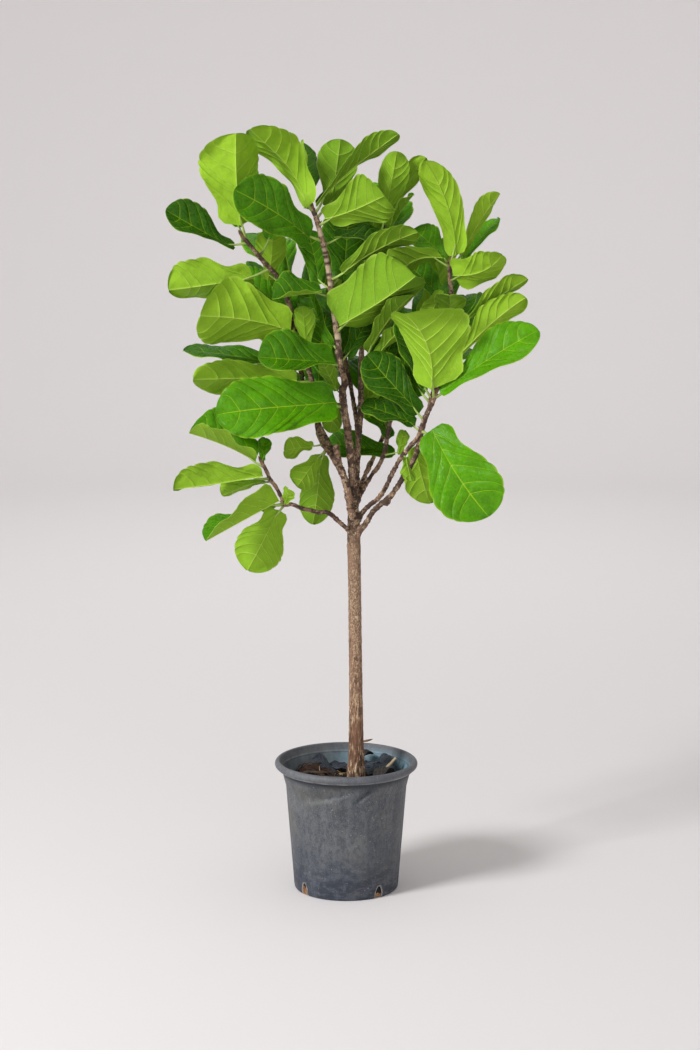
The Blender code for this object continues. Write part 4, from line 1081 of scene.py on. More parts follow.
LEAF_TOP = leaf_material("leaf_upper_side", (0.13, 0.465, 0.001), (0.014, 0.108, 0.001),
                         (0.48, 0.7, 0.03), 0.7, 0.27, 0.19, 0.16, 0.05)
LEAF_UNDER = leaf_material("leaf_underside", (0.46, 0.78, 0.036), (0.24, 0.5, 0.02),
                           (0.7, 0.9, 0.16), 0.85, 0.5, 0.16, 0.28, 0.14)
print("leaf materials", LEAF_TOP.name, LEAF_UNDER.name)

# %% [markdown]
# ## A leaf close up
# Three to six pairs of side veins leave the midrib and bend towards the tip. The blade bulges up
# between them like a quilt, because the veins grow more slowly than the blade. A grid with square
# cells would blur such narrow ridges. Here each row of the grid runs along a vein or between two,
# so a ridge needs only three rows. The blade is a closed shell with an upper and a lower sheet.

# %% Rows that follow the veins
VEIN_HALF_WIDTH = 0.0011
ACROSS = np.array((0.025, 0.1, 0.2, 0.32, 0.45, 0.58, 0.71, 0.84, 0.94, 1.0))
ACROSS = np.concatenate([-ACROSS[::-1], [0.0], ACROSS])


def vein_rows(length, rng):
    """Rows of a blade from base to tip: the place on the midrib, how much vein, how much bulge."""
    count = round(2.6 + length / 0.08)
    step = 0.84 / count
    half = VEIN_HALF_WIDTH / length
    veins = [0.04 + step * (k + 0.3 + rng.uniform(-0.22, 0.22)) for k in range(count)]
    first = veins[0] - half
    rows = [(first * (k / 10) ** 2.2, 0, 0.3 * (k / 10) ** 2) for k in range(1, 10)]
    for number, spot in enumerate(veins):
        if number:
            gap = spot - veins[number - 1]
            rows += [(spot - gap * part, 0, bulge) for part, bulge in
                     ((0.87, 0.42), (0.7, 0.85), (0.5, 1), (0.3, 0.85), (0.13, 0.42))]
        rows += [(spot - half, 0, 0.05), (spot, 1, 0), (spot + half, 0, 0.05)]
    left = 1 - veins[-1] - half
    rows += [(1 - left * part, 0, bulge) for part, bulge in
             ((0.86, 0.35), (0.7, 0.7), (0.5, 0.8), (0.33, 0.6), (0.15, 0.3), (0.05, 0.1), (0.008, 0))]
    return rows


print("rows of a leaf 20 cm long:", len(vein_rows(0.2, random.Random(1))))

# %% [markdown]
# The grid is first a flat leaf with its heights: quilting, slow lumps and a waved edge. Then it is
# bent by the rule of `Blade`, for all of its points at once with numpy. The bending also gives the way
# that each spot faces, and the sheet's thickness and the veins are laid on in that direction.

# %% The blade's rule for whole grids


def bent(blade, u, v, along, reach, rise):
    """Places on a blade's middle surface, and the way its upper side faces there."""
    fold = blade.fold + np.where(v > 0, max(0.0, blade.flap), max(0.0, -blade.flap))
    fold = np.where(v == 0, 0, fold) + 0 * u
    rise = rise + reach * np.sin(fold) + blade.cup * 2 * reach ** 2 / blade.width
    up, side, ahead = (np.array(way) for way in (blade.up, blade.side, blade.along))
    turn = (blade.twist * (u - TWIST_START))[..., None]
    up_here = up * np.cos(turn) + side * np.sin(turn)
    side_here = side * np.cos(turn) - up * np.sin(turn)
    bow = blade.length * 4 * u * (1 - u)
    arch = bow * blade.arch * (1 + blade.skew * (2 * u - 1))
    middle = (np.array(blade.base) + along[..., None] * ahead + arch[..., None] * up
              + (bow * blade.sweep)[..., None] * side + rise[..., None] * up_here
              + (np.sign(v) * reach * np.cos(fold))[..., None] * side_here)
    faces = up_here * np.cos(fold)[..., None] - side_here * (np.sign(v) * np.sin(fold))[..., None]
    return middle, faces


print("the rule bends a whole grid:", bent.__name__)

# %% A leaf before it is bent
VEIN_LEAN = 0.36
VEIN_STAGGER = 0.022    # how far the veins of one half stand above those of the other
BULGE = 0.105
LUMP = 0.0038
SCALLOP = 0.04
EDGE_DROOP = 0.02


def flat_leaf(blade, rng):
    """A leaf's grid before it is bent: u, v, vein, and its places along, across and up."""
    s, vein, bulge = (np.array(column)[:, None] for column in zip(*vein_rows(blade.length, rng)))
    v = ACROSS[None, :] + 0 * s
    t = np.abs(v)
    near_base = np.minimum(1, s / 0.05) ** 0.5 * (1 - s ** 2.2)
    stagger = VEIN_STAGGER * np.where(v > 0, 1, 0) * np.minimum(1, t / 0.2)
    u = s + near_base * (VEIN_LEAN * (0.5 * t + 0.5 * t ** 2) + stagger)
    wide = np.vectorize(outline)(u, blade.neck)
    reach = t * blade.width / 2 * wide * (1 + SCALLOP * t ** 2 * (bulge - 0.4))
    wave = 2 * math.pi * WAVES * u + blade.phase + np.where(v > 0, 1.9, 0)
    rise = WAVE_HEIGHT * blade.width * t ** 2 * wide * np.sin(wave)
    quilt = BULGE * rng.uniform(0.7, 1.4) * blade.length * 8 / len(s)
    rise += quilt * bulge * t ** 0.5 * (1 - 0.7 * t ** 5) - EDGE_DROOP * blade.width * t ** 5 * wide
    for turns in (6, 11, 19):
        slow = np.sin(turns * u + 6 * rng.random()) * np.sin(turns * v / 2 + 6 * rng.random())
        rise += LUMP * 6 / turns * t * slow
    along = blade.length * (u - 0.022 * t ** 2 * np.exp(-(u / 0.07) ** 2))
    return s, u, v, vein, along, reach, rise


print("grid of the first leaf:", flat_leaf(first_leaf, random.Random(1))[1].shape)

# %% One fine leaf
SHEET_THICKNESS = 0.0008
MIDRIB_HEIGHT = 0.0026
VEIN_HEIGHT = 0.0011


def fine_blade(clay, blade, shade, rng):
    """A leaf with raised veins, a quilted blade and a waved edge, as a closed shell."""
    s, u, v, vein, along, reach, rise = flat_leaf(blade, rng)
    t = np.abs(v)
    middle, faces = bent(blade, u, v, along, reach, rise)
    thick = SHEET_THICKNESS * (1 - 0.4 * t) / 2
    rib = (t == 0) * (1 - 0.8 * u)
    size = 0.5 + 0.5 * min(1, blade.length / 0.2)
    ridge = (VEIN_HEIGHT * vein * (1 - 0.75 * t) * (t > 0) + MIDRIB_HEIGHT * rib) * size
    upper = middle + (thick - 0.0003 * vein * (1 - t))[..., None] * faces
    lower = middle - (thick + ridge)[..., None] * faces
    count, width = u.shape
    quads = grid_quads(count, width)
    total = count * width
    i, j = np.arange(count - 1), np.arange(width - 1)
    left, right = i * width, i * width + width - 1
    tip = (count - 1) * width + j
    rim = [np.stack([left, left + width, left + width + total, left + total], 1),
           np.stack([right + width, right, right + total, right + width + total], 1),
           np.stack([j + 1, j, j + total, j + 1 + total], 1),
           np.stack([tip, tip + 1, tip + 1 + total, tip + total], 1)]
    veins = np.maximum(vein * (1 - 0.5 * t ** 2), t == 0)
    spots = np.stack([s + 0 * v, v / 2 + 0.5], -1).reshape(-1, 2)
    clay.add(np.concatenate([upper.reshape(-1, 3), lower.reshape(-1, 3)]), [quads], 0,
             np.concatenate([spots] * 2), vein=np.tile(veins.ravel(), 2),
             edge=np.tile((t > 0.99).ravel(), 2), shade=shade)
    clay.more([quads[:, [0, 3, 2, 1]] + total, *rim], 1)


print("blade", SHEET_THICKNESS * 1000, "mm thick, midrib", MIDRIB_HEIGHT * 1000, "mm high")

# %% [markdown]
# ## Bark
# Near the pot the old wood is cracked along its length, with pale flakes on orange-brown. Higher up
# it is smooth, finely speckled tan, and from the fork up it has near-black crusty patches. A crack
# is where a noise crosses zero, and stretching the noise along the trunk makes it long. The same
# cracks are cut in the mesh and coloured dark, because their depth is kept at the points.

# %% Bark material
FLAKY_BELOW = 0.62
FORK_HEIGHT = 0.8


def bark_material():
    """Bark: flaky near the foot, speckled tan above, crusty from the fork up."""
    mat, tree, shader = make_material("bark", (0.3, 0.19, 0.12), 0.85)
    high = put(tree, "SeparateXYZ", {0: object_place(tree)}).outputs["Z"]
    flaky = spread(tree, high, FLAKY_BELOW, FLAKY_BELOW - 0.28)
    flakes = speckle(tree, object_place(tree, (1, 1, 0.22)), 260, 6, 0.62)
    flakes = math_node(tree, "MULTIPLY_ADD", mark(tree, "relief"), 0.12, flakes)
    grain = speckle(tree, object_place(tree, (1, 1, 0.6)), 400, 5, 0.6)
    grain = math_node(tree, "MULTIPLY_ADD", mark(tree, "relief"), 0.04, grain)
    height = put(tree, "Mix", {0: flaky, 2: grain, 3: flakes}).outputs[0]
    broad = speckle(tree, object_place(tree, (1, 1, 0.45)), 36, 3)
    color = ramp(tree, height, ((0.33, (0.035, 0.02, 0.014)), (0.43, (0.135, 0.068, 0.04)),
                                (0.51, (0.29, 0.165, 0.095)), (0.59, (0.62, 0.47, 0.3)),
                                (0.7, (0.86, 0.77, 0.56))))
    color = stain(tree, color, (0.19, 0.088, 0.047), broad, 0.46, 0.58, 0.72)
    color = mix(tree, math_node(tree, "MULTIPLY_ADD", flaky, -0.36, 0.36), color, (0.38, 0.26, 0.17))
    flecks = speckle(tree, object_place(tree, (1, 1, 0.6)), 75, 4, 0.6)
    color = stain(tree, color, (0.085, 0.045, 0.028), flecks, 0.58, 0.64, 0.75)
    patches = speckle(tree, object_place(tree, (1, 1, 1.2)), 50, 5, 0.72)
    crusty = times(tree, spread(tree, patches, 0.47, 0.51),
                   spread(tree, high, FORK_HEIGHT - 0.03, FORK_HEIGHT + 0.03, 0.0, 0.9))
    color = mix(tree, crusty, color, (0.036, 0.018, 0.013))
    pits = put(tree, "TexVoronoi", {"Vector": object_place(tree, (1, 1, 0.6)), "Scale": 170.0}).outputs[0]
    color = stain(tree, color, (0.05, 0.03, 0.02), pits, 0.14, 0.05, 0.75)
    color = stain(tree, color, (0.66, 0.51, 0.35), mark(tree, "age"), 0.22, 0.0, 0.75)
    color = mix(tree, times(tree, mark(tree, "age"), 0.3), color, (0.105, 0.052, 0.034))
    tree.links.new(color, shader.inputs["Base Color"])
    relief(tree, shader, height, 0.0014)
    return mat


def green_material(name, young, old, rough):
    """The skin of stalks and buds."""
    mat, tree, shader = make_material(name, young, rough)
    place = object_place(tree)
    streaks = speckle(tree, place, 90, 5)
    aged = math_node(tree, "ADD", streaks, mark(tree, "age"))
    color = mix(tree, spread(tree, aged, 0.35, 1.3), young, old)
    tree.links.new(color, shader.inputs["Base Color"])
    relief(tree, shader, streaks, 0.0005)
    return mat


BARK = bark_material()
STALK = green_material("leaf_stalk", (0.42, 0.6, 0.12), (0.17, 0.2, 0.05), 0.5)
SHEATH = green_material("bud_sheath", (0.34, 0.2, 0.085), (0.11, 0.055, 0.03), 0.7)
print("wood materials", BARK.name, STALK.name, SHEATH.name)

# %% [markdown]
# ## Wood with leaf scars
# Each old leaf leaves a ring-shaped scar on its stem, and the wood swells there. A tube's radius is
# changed ring by ring for the swellings, and point by point for cracks.

# %% Bark on points
# How fine each noise is: its hills a metre, across the wood and along it
LONG_CRACKS = (170, 42)
FLAKES = (430, 240)
SWELLINGS = (45, 22)
CRUST = (150, 150)


def hills(places, across, along):
    """A smooth noise at places, about -1 to 1."""
    return np.array([noise.noise((x * across, y * across, z * along)) for x, y, z in places.reshape(-1, 3)])


def cracks(places):
    """How far bark stands out at places, about -1 to 1."""
    deep = np.abs(hills(places, *LONG_CRACKS)) ** 0.6 - 0.5
    return 1.1 * deep + 0.45 * hills(places, *FLAKES) + 0.55 * hills(places, *SWELLINGS)


print("bark's height at one place:", cracks(np.array([(0.01, 0.0, 0.5)])).round(3))

# %% Rough woody tubes
SCAR_REACH = 0.0032     # how far a scar's swelling reaches along the stem
SCAR_SWELL = 0.13       # how much it adds to the stem's radius, as a part of it
STEM_CRACK_DEPTH = 0.0005
STEM_CRUST_DEPTH = 0.0008


def run_along(path):
    """How far each place of a path is from its start, along it."""
    return np.concatenate([[0], np.cumsum(np.linalg.norm(np.diff(path, axis=0), axis=1))])


def wood(clay, points, radii, scars, sides=16, step=0.003, age=0.0):
    """A rough woody tube with swollen rings where the scars are, in metres along it."""
    path, sizes = smooth_path(points, radii, step)
    run = run_along(path)
    swell = np.zeros(len(run))
    for scar in scars:
        swell += np.exp(-((run - scar) / SCAR_REACH) ** 2)
    plain = tube(path, sizes, sides)[0]
    rough = cracks(plain).reshape(len(path), sides)
    crust = hills(plain, *CRUST).reshape(len(path), sides)
    grown = sizes[:, None] * (1 + SCAR_SWELL * np.minimum(swell, 1.2)[:, None])
    grown = grown + STEM_CRACK_DEPTH * rough + STEM_CRUST_DEPTH * crust
    points, faces = tube(path, grown, sides)
    ring = np.repeat(np.minimum(swell, 1), sides)
    clay.add(points, faces, 0, relief=rough.ravel() - 0.6 * ring, age=age + 0.35 * ring)


print("a scar's swelling reaches", SCAR_REACH * 1000, "mm each way")

# %% [markdown]
# A stalk is green, and swollen where it leaves the stem. Two dry brown sheaths stand at its foot, and
# the stem ends in a bud in a sheath of its own. Both are spindles: tubes that swell and end in a
# point.

# %% Stalks, buds and sheaths


def stalk(clay, blade, root):
    """A leaf's stalk: swollen where it leaves the stem, and running into the midrib."""
    (start, end), (thick, thin) = petiole(blade, root)
    end = blade.point(STALK_END * 1.6, 0) - blade.up * STALK_SINK
    half = start.lerp(end, 0.5) - blade.up * (0.05 * (end - start).length)
    path, radii = smooth_path([start, half, end], [thick * 1.25, thick * 0.82, thin], 0.003)
    points, faces = tube(path, radii, 10)
    age = np.repeat(np.exp(-np.arange(len(path)) / 3.0), 10)
    clay.add(points, faces, 1, age=age, relief=0.0)


def spindle(clay, start, way, length, radius, slot, lean):
    """A pointed sheath, such as a bud's, that leans more and more towards its end."""
    part = np.linspace(0, 1, 9)
    path = np.array(start) + np.outer(part * length, way) + np.outer(part ** 2 * length, lean)
    radii = radius * (0.75 + 1.1 * part) * (1 - part ** 2.2) + 0.0003
    points, faces = tube(path, radii, 10)
    clay.add(points, faces, slot, age=np.repeat(part, 10), relief=0.0)


def sheaths(clay, blade, root, rng):
    """The two dry sheaths where a leaf's stalk leaves the stem."""
    out = (blade.base - root).normalized()
    for turn in (-1, 1):
        way = Vector((0, 0, 0.8)) + out * 0.5 + blade.along.cross(Vector((0, 0, 1))) * 0.35 * turn
        length = rng.uniform(0.007, 0.013)
        lean = Vector((rng.uniform(-0.3, 0.3), rng.uniform(-0.3, 0.3), 0))
        spindle(clay, root + out * 0.003, way.normalized(), length, 0.0011, 2, lean)


def end_bud(clay, places, size):
    """The bud at a stem's end."""
    way = (places[-1] - places[-2]).normalized()
    spindle(clay, places[-1] - way * 0.004, way, 0.024, size * 0.75, 2, Vector((0.1, 0, 0)))


print("sheaths and buds are made by", spindle.__name__)

# %% [markdown]
# ## Leafy stems
# Each stretch of leafy stem becomes two pieces, because wood and leaf take different finishes: the
# wood with its stalks and buds, and the leaves. Both ride with the plant, and together they stand in
# for the plain node.

# %% Scars and ages
FIRST_SCAR = 0.006
SCAR_GAPS = (0.01, 0.034)
CROWN_RADIUS = 0.3
TRUNK_X = 0.022


def scars_on(path, roots, rng):
    """Where the leaves' roots, and old scars between them, lie along a path."""
    run = run_along(path)
    spots = [run[np.argmin(np.linalg.norm(path - np.array(root), axis=1))] for root in roots]
    old_scar = FIRST_SCAR
    while old_scar < run[-1]:
        spots.append(old_scar)
        old_scar += rng.uniform(*SCAR_GAPS)
    return spots


def leaf_age_and_shade(blade, rng):
    """How old and how shaded a leaf looks, from 0 up: the ones at the crown's top and outside are the
    youngest, and the inner ones are darker, partly for their age and partly as painted shade.
    """
    middle = blade.point(0.6, 0)
    # Leaves inside the crown are coloured darker, partly for their age and partly as painted shade
    inside = 1 - min(1, math.hypot(middle.x - TRUNK_X, middle.y) / CROWN_RADIUS)
    young = 0.3 * min(1, max(0, (middle.z - 1.35) / 0.2))
    return max(0, 0.26 + 1.3 * inside ** 2 - young + rng.uniform(-0.15, 0.15))


print("the first leaf's age:", round(leaf_age_and_shade(first_leaf, random.Random(1)), 2))

# %% Dress every leafy stem
INTO_LIMB = 0.006
# Leaves that are darker than their place in the crown tells: stretch and row
DARKENED_LEAVES = {("leafy_left_top", 1): 1.0, ("leafy_leader_top", 5): 0.55, ("leafy_left_low", 4): 0.8}
STEM_AGE = 0.45
YOUNG_STEMS = {"leafy_leader_middle": 0.0, "leafy_leader_top": 0.04, "leafy_leader_low": 0.25,
               "leafy_front": 0.25, "leafy_right_low": 0.25}


def stem_wood(stretch, leaves, rng):
    """The wood of one stretch, with its stalks, sheaths and bud."""
    timber = Clay("relief", "age")
    places, sizes = cut_line(stretch.stem, stretch.first, stretch.last)
    lower = places[0] - (places[1] - places[0]).normalized() * INTO_LIMB
    places, sizes = [lower] + places, [sizes[0] * 0.9] + sizes
    roots = [root for blade, root in leaves]
    scars = scars_on(smooth_path(places, sizes, 0.003)[0], roots, rng)
    wood(timber, places, sizes, scars, age=YOUNG_STEMS.get(stretch.node, STEM_AGE))
    for blade, root in leaves:
        stalk(timber, blade, root)
        sheaths(timber, blade, root, rng)
    if stretch.last == len(STEMS[stretch.stem][0]) - 1:
        end_bud(timber, places, sizes[-1])
    return timber


def dress_stem(stretch, leaves):
    """The two pieces of one stretch: its wood and its leaves."""
    rng = random.Random(stretch.node)
    timber = stem_wood(stretch, leaves, rng)
    dress(timber.build(stretch.node + "_wood", [BARK, STALK, SHEATH]), "bark", stretch.node)
    green = Clay("vein", "edge", "shade")
    for number, (blade, _) in enumerate(leaves):
        # A leaf's colour darkens with its age and, inside the crown, with painted shade
        age_and_shade_by_place = leaf_age_and_shade(blade, rng)
        age = DARKENED_LEAVES.get((stretch.node, number), age_and_shade_by_place)
        fine_blade(green, blade, age, rng)
    dress(green.build(stretch.node + "_leaves", [LEAF_TOP, LEAF_UNDER]), "leaf", stretch.node)


for stretch in STRETCHES:
    dress_stem(stretch, crown.chosen[stretch.node])

# %% [markdown]
# ## The trunk
# Trunk and limbs grew together, so their joins are smooth. Overlapping tubes are melted to one skin
# with a voxel Remesh modifier, and a Smooth modifier rounds the forks. Cutting and joining the tubes
# by hand would leave a hard line at each fork.

# %% Trunk and limbs in one skin
TRUNK_FOOT = 0.12
TRUNK_FLARE_TOP = 0.262
TRUNK_FLARE_RADIUS = 0.021
TRUNK_VOXEL = 0.0019
# The trunk above its flare: x and z as seen, in centimetres, and the radius
TRUNK_POINTS = ((2.25, 29, 0.0185), (2.2, 36, 0.0165), (2.15, 45, 0.0153), (2.0, 58, 0.0148),
                (1.85, 70, 0.0146), (1.7, 78, 0.015), (1.65, 84, 0.0135), (1.6, 86.5, 0.011))


def settle(piece):
    """Apply a piece's modifiers."""
    bpy.context.view_layer.update()
    graph = bpy.context.evaluated_depsgraph_get()
    mesh = bpy.data.meshes.new_from_object(piece.evaluated_get(graph))
    piece.modifiers.clear()
    piece.data = mesh


def trunk_tubes():
    """The trunk, the bare feet of its limbs and the stubs, as tubes that overlap."""
    tubes = Clay()
    points = [Vector((TRUNK_X, 0, TRUNK_FOOT)), Vector((TRUNK_X, 0, TRUNK_FLARE_TOP))]
    points += [seen(x, z, 0) for x, z, radius in TRUNK_POINTS]
    radii = [TRUNK_FLARE_RADIUS] * 2 + [radius for x, z, radius in TRUNK_POINTS]
    tubes.add(*tube(*smooth_path(points, radii, 0.01), 28))
    for name, cuts in CUTS.items():
        tubes.add(*tube(*smooth_path(*cut_line(name, 0, cuts[0]), 0.006), 20))
    for start, end, wide, narrow in STUBS:
        tubes.add(*tube(*smooth_path([seen(*start), seen(*end)], [wide * CM, narrow * CM], 0.004), 18))
    return tubes


trunk = trunk_tubes().build("trunk_wood", [BARK])
melt = trunk.modifiers.new("melt", "REMESH")
melt.mode = "VOXEL"
melt.voxel_size = TRUNK_VOXEL
ease = trunk.modifiers.new("ease", "SMOOTH")
ease.iterations = 5
settle(trunk)
print("points on the trunk's skin:", len(trunk.data.vertices))

# %% [markdown]
# Then each point of the skin is pushed out or in by the bark's height: cracks low down, and from the
# fork up crust and the rings of old scars. Two marks keep the cracks' height and the wood's age for
# the material.

# %% Bark of the trunk
TRUNK_CRACK_DEPTH = 0.0009
RING_DEPTH = 0.0006
FORK_RING_DEPTH = 0.001         # how much deeper the rings are above the fork
FORK_CRUST_DEPTH = 0.0017
RINGS = (8, 95)                 # how fine: hills a metre, across and along
FORK_CRUST = (150, 230)


def roughen(trunk):
    """Push the trunk's points out and in, and keep the marks."""
    mesh = trunk.data
    places = read_places(mesh)
    normals = np.array([tuple(n.vector) for n in mesh.vertex_normals])
    flaky = np.clip((FLAKY_BELOW - places[:, 2]) / 0.28, 0, 1)
    forked = np.clip((places[:, 2] - FORK_HEIGHT + 0.02) / 0.07, 0, 1)
    cracked = cracks(places) * (0.3 + 0.7 * flaky)
    lift = TRUNK_CRACK_DEPTH * cracked + (RING_DEPTH + FORK_RING_DEPTH * forked) * hills(places, *RINGS)
    lift += FORK_CRUST_DEPTH * forked * hills(places, *FORK_CRUST)
    places += normals * lift[:, None]
    mesh.vertices.foreach_set("co", places.ravel())
    set_mark(mesh, "relief", cracked)
    set_mark(mesh, "age", 0.22 + np.clip((places[:, 2] - 0.76) / 0.12, 0, 1) * 0.3)
    mesh.shade_smooth()


roughen(trunk)
dress(trunk, "bark", "trunk")

# %% [markdown]
# ## The pot
# A nursery pot is blown or moulded from thin grey-black plastic. It has a rolled lip, a flared band
# below it, faint flutes down its wall, and arched notches at its foot. This one has been used, and
# dust and scuffs cover it. The foot is darker, a painted shadow lies under the lip, and painted
# highlights lighten the lip's lower edge and the lip. Inside, the dusty wall is painted lighter and
# bluer on its right, where light falls. Noises of several sizes mix the colours, and masks made from
# the height bring each mark to its place.

# %% Pot material
UNDER_LIP = 0.2738


def plastic_material():
    """Scuffed, dusty grey-black plastic."""
    mat, tree, shader = make_material("nursery_plastic", (0.1, 0.105, 0.118), 0.6)
    place = object_place(tree)
    parts = put(tree, "SeparateXYZ", {0: place}).outputs
    across, height = parts["X"], parts["Z"]
    clouds = speckle(tree, place, 13, 7, 0.68)
    streaks = speckle(tree, object_place(tree, (1, 1, 0.12)), 46, 4, 0.6)
    grain = speckle(tree, place, 420, 3, 0.6)
    color = mix(tree, spread(tree, clouds, 0.38, 0.62), (0.026, 0.036, 0.054), (0.12, 0.124, 0.128))
    color = stain(tree, color, (0.15, 0.158, 0.162), streaks, 0.46, 0.74, 0.55)
    color = stain(tree, color, (0.2, 0.21, 0.215), grain, 0.4, 0.7, 0.55)
    scuffs = speckle(tree, object_place(tree, (1, 1, 0.6)), 130, 6, 0.72)
    color = stain(tree, color, (0.024, 0.031, 0.043), scuffs, 0.52, 0.4, 0.5)
    moss = speckle(tree, place, 8, 5)
    color = stain(tree, color, (0.112, 0.106, 0.082), moss, 0.52, 0.66, 0.42)
    color = stain(tree, color, (0.038, 0.053, 0.092), height, 0.15, 0.03, 0.42)
    dots = put(tree, "TexVoronoi", {"Vector": place, "Scale": 85.0}).outputs[0]
    color = stain(tree, color, (0.4, 0.39, 0.37), dots, 0.12, 0.05, 0.7)
    wrinkles = speckle(tree, object_place(tree, (1, 1, 1.9)), 34, 6, 0.7)
    # The foot is coloured darker, most of all in its wrinkles
    at_foot = spread(tree, height, 0.115, 0.03)
    creased = times(tree, spread(tree, wrinkles, 0.58, 0.44), at_foot)
    color = mix(tree, times(tree, creased, 0.8), color, (0.014, 0.021, 0.036))
    # Painted shadow: a dark line just under the lip
    under_lip_shadow = times(tree, spread(tree, height, UNDER_LIP - 0.017, UNDER_LIP - 0.005),
                      spread(tree, height, UNDER_LIP + 0.001, UNDER_LIP))
    color = mix(tree, times(tree, under_lip_shadow, 0.9), color, (0.01, 0.015, 0.024))
    # Painted highlight: the lip's lower edge is coloured pale
    lip_edge_highlight = times(tree, spread(tree, height, UNDER_LIP, UNDER_LIP + 0.0012),
                   spread(tree, height, UNDER_LIP + 0.005, UNDER_LIP + 0.0028))
    lip_edge_highlight = times(tree, lip_edge_highlight, spread(tree, streaks, 0.35, 0.6, 0.1, 0.7))
    color = mix(tree, lip_edge_highlight, color, (0.36, 0.38, 0.4))
    # Painted light: the lip and the rim above it are coloured lighter
    lip_painted_light = spread(tree, height, UNDER_LIP + 0.002, UNDER_LIP + 0.004, 0.0, 0.35)
    color = mix(tree, lip_painted_light, color, (0.15, 0.156, 0.18))
    # The inside is dusty grey, and its right side is painted lighter and bluer, where light falls
    lit_right_inside = times(tree, spread(tree, clouds, 0.36, 0.52), spread(tree, across, -0.05, 0.06))
    dust_and_lit_inside = mix(tree, lit_right_inside, mix(tree, spread(tree, clouds, 0.4, 0.6), (0.07, 0.088, 0.102),
                                (0.165, 0.192, 0.208)), (0.2, 0.36, 0.45))
    color = mix(tree, mark(tree, "inside"), color, dust_and_lit_inside)
    color = mix(tree, mark(tree, "worn"), color, (0.44, 0.42, 0.38))
    tree.links.new(color, shader.inputs["Base Color"])
    tree.links.new(spread(tree, clouds, 0.3, 0.7, 0.42, 0.72), shader.inputs["Roughness"])
    folds = times(tree, times(tree, wrinkles, at_foot), 5.0)
    relief(tree, shader, math_node(tree, "ADD", math_node(tree, "ADD", grain, streaks), folds), 0.0006)
    return mat


PLASTIC = plastic_material()
print("pot material", PLASTIC.name, "with", len(PLASTIC.node_tree.nodes), "nodes")

# %% [markdown]
# The pot is a turned form, so one profile says it all: out along the floor, up the outside, over the
# lip and down the inside. Arcs of a few points make the rolled lip and the round edges.

# %% Pot profile
RIM_RADIUS = 0.16
RIM_HEIGHT = 0.294
LIP_HEIGHT = 0.02
LIP_INNER_RADIUS = 0.1495
SHOULDER_RADIUS = 0.1455
WAIST_RADIUS = 0.1355
WAIST_HEIGHT = 0.235
FOOT_RADIUS = 0.1165
POT_WALL = 0.0022
POT_FLOOR = 0.003
NOTCH_WIDTH = 0.02
NOTCH_HEIGHT = 0.028
NOTCH_ANGLES = (-52, 38, 128, 218)


def wall_radius(height):
    """The pot's outer radius below the lip."""
    if height > WAIST_HEIGHT:
        top = RIM_HEIGHT - LIP_HEIGHT
        part = (height - WAIST_HEIGHT) / (top - WAIST_HEIGHT)
        return WAIST_RADIUS + part * (SHOULDER_RADIUS - WAIST_RADIUS)
    return FOOT_RADIUS + height / WAIST_HEIGHT * (WAIST_RADIUS - FOOT_RADIUS)


def arc(center, radius, first, last, count):
    """Points on an arc in the profile, angles in degrees from straight out."""
    angles = np.radians(np.linspace(first, last, count))
    return [(center[0] + radius * math.cos(a), center[1] + radius * math.sin(a)) for a in angles]


def along_wall(first, last, count, inset=0.0):
    """Points along the wall from one height to another, and so far inside its outer side."""
    return [(wall_radius(z) - inset, z) for z in np.linspace(first, last, count)]


def pot_profile():
    """Radius and height, from the floor's centre up the outside, and down the inside to it again."""
    roll = 0.0085
    lip_foot = RIM_HEIGHT - LIP_HEIGHT
    outside = [(0.0, 0.0008), (0.06, 0.0008), (FOOT_RADIUS - 0.01, 0.0008), (FOOT_RADIUS - 0.006, 0.0)]
    outside += arc((FOOT_RADIUS - 0.0045, 0.0045), 0.0045, -80, 0, 5)
    outside += along_wall(0.01, WAIST_HEIGHT - 0.004, 44)
    outside += along_wall(WAIST_HEIGHT, lip_foot - 0.004, 12)
    outside += [(SHOULDER_RADIUS + 0.0008, lip_foot - 0.001), (SHOULDER_RADIUS + 0.006, lip_foot - 0.0004)]
    outside += arc((RIM_RADIUS - 0.0088, lip_foot + 0.0022), 0.0024, -95, -30, 4)
    outside += arc((RIM_RADIUS - roll, RIM_HEIGHT - roll - 0.001), roll, -35, 90, 13)
    outside += arc((LIP_INNER_RADIUS + 0.002, RIM_HEIGHT - 0.004), 0.0026, 95, 178, 5)
    inside = [(SHOULDER_RADIUS - POT_WALL, lip_foot)]
    inside += along_wall(lip_foot - 0.004, WAIST_HEIGHT, 10, POT_WALL)
    inside += along_wall(WAIST_HEIGHT - 0.006, 0.01, 30, POT_WALL)
    inside += [(FOOT_RADIUS - 0.008, POT_FLOOR), (0.05, POT_FLOOR), (0.0, POT_FLOOR)]
    return outside, inside


print("points in the pot's profile:", sum(map(len, pot_profile())))

# %% [markdown]
# Thin plastic gives way. A long crease runs under the lip, sharp above and soft below, and a short
# fold meets it on the right. Each is a groove beside a line on the pot's front. The flutes come from
# a cosine round the pot. All of it is one rule, which says how far the wall is pushed out at each
# place, so that the soil inside can follow it too.

# %% Dents and flutes
FLUTES = 14
FLUTE_DEPTH = 0.0012
OVAL = 0.0009           # how far the pot is out of round at its lip
WALL_TOP = 0.2735       # where dents end, under the lip
# Grooves on the pot's front: the two ends of each line (x and height), and its depth
CREASE = ((-0.098, 0.222), (0.012, 0.25))
CREASE_DEPTH = 0.0066
CREASE_SOFT = 0.024     # how wide the groove is on one side of the line, and on the other
CREASE_SHARP = 0.005
FOLD = ((0.064, 0.264), (0.026, 0.23))
FOLD_DEPTH = 0.0074
FOLD_WIDTH = 0.0052
FOLD_RIDGE = 0.0016     # the low ridge beside it


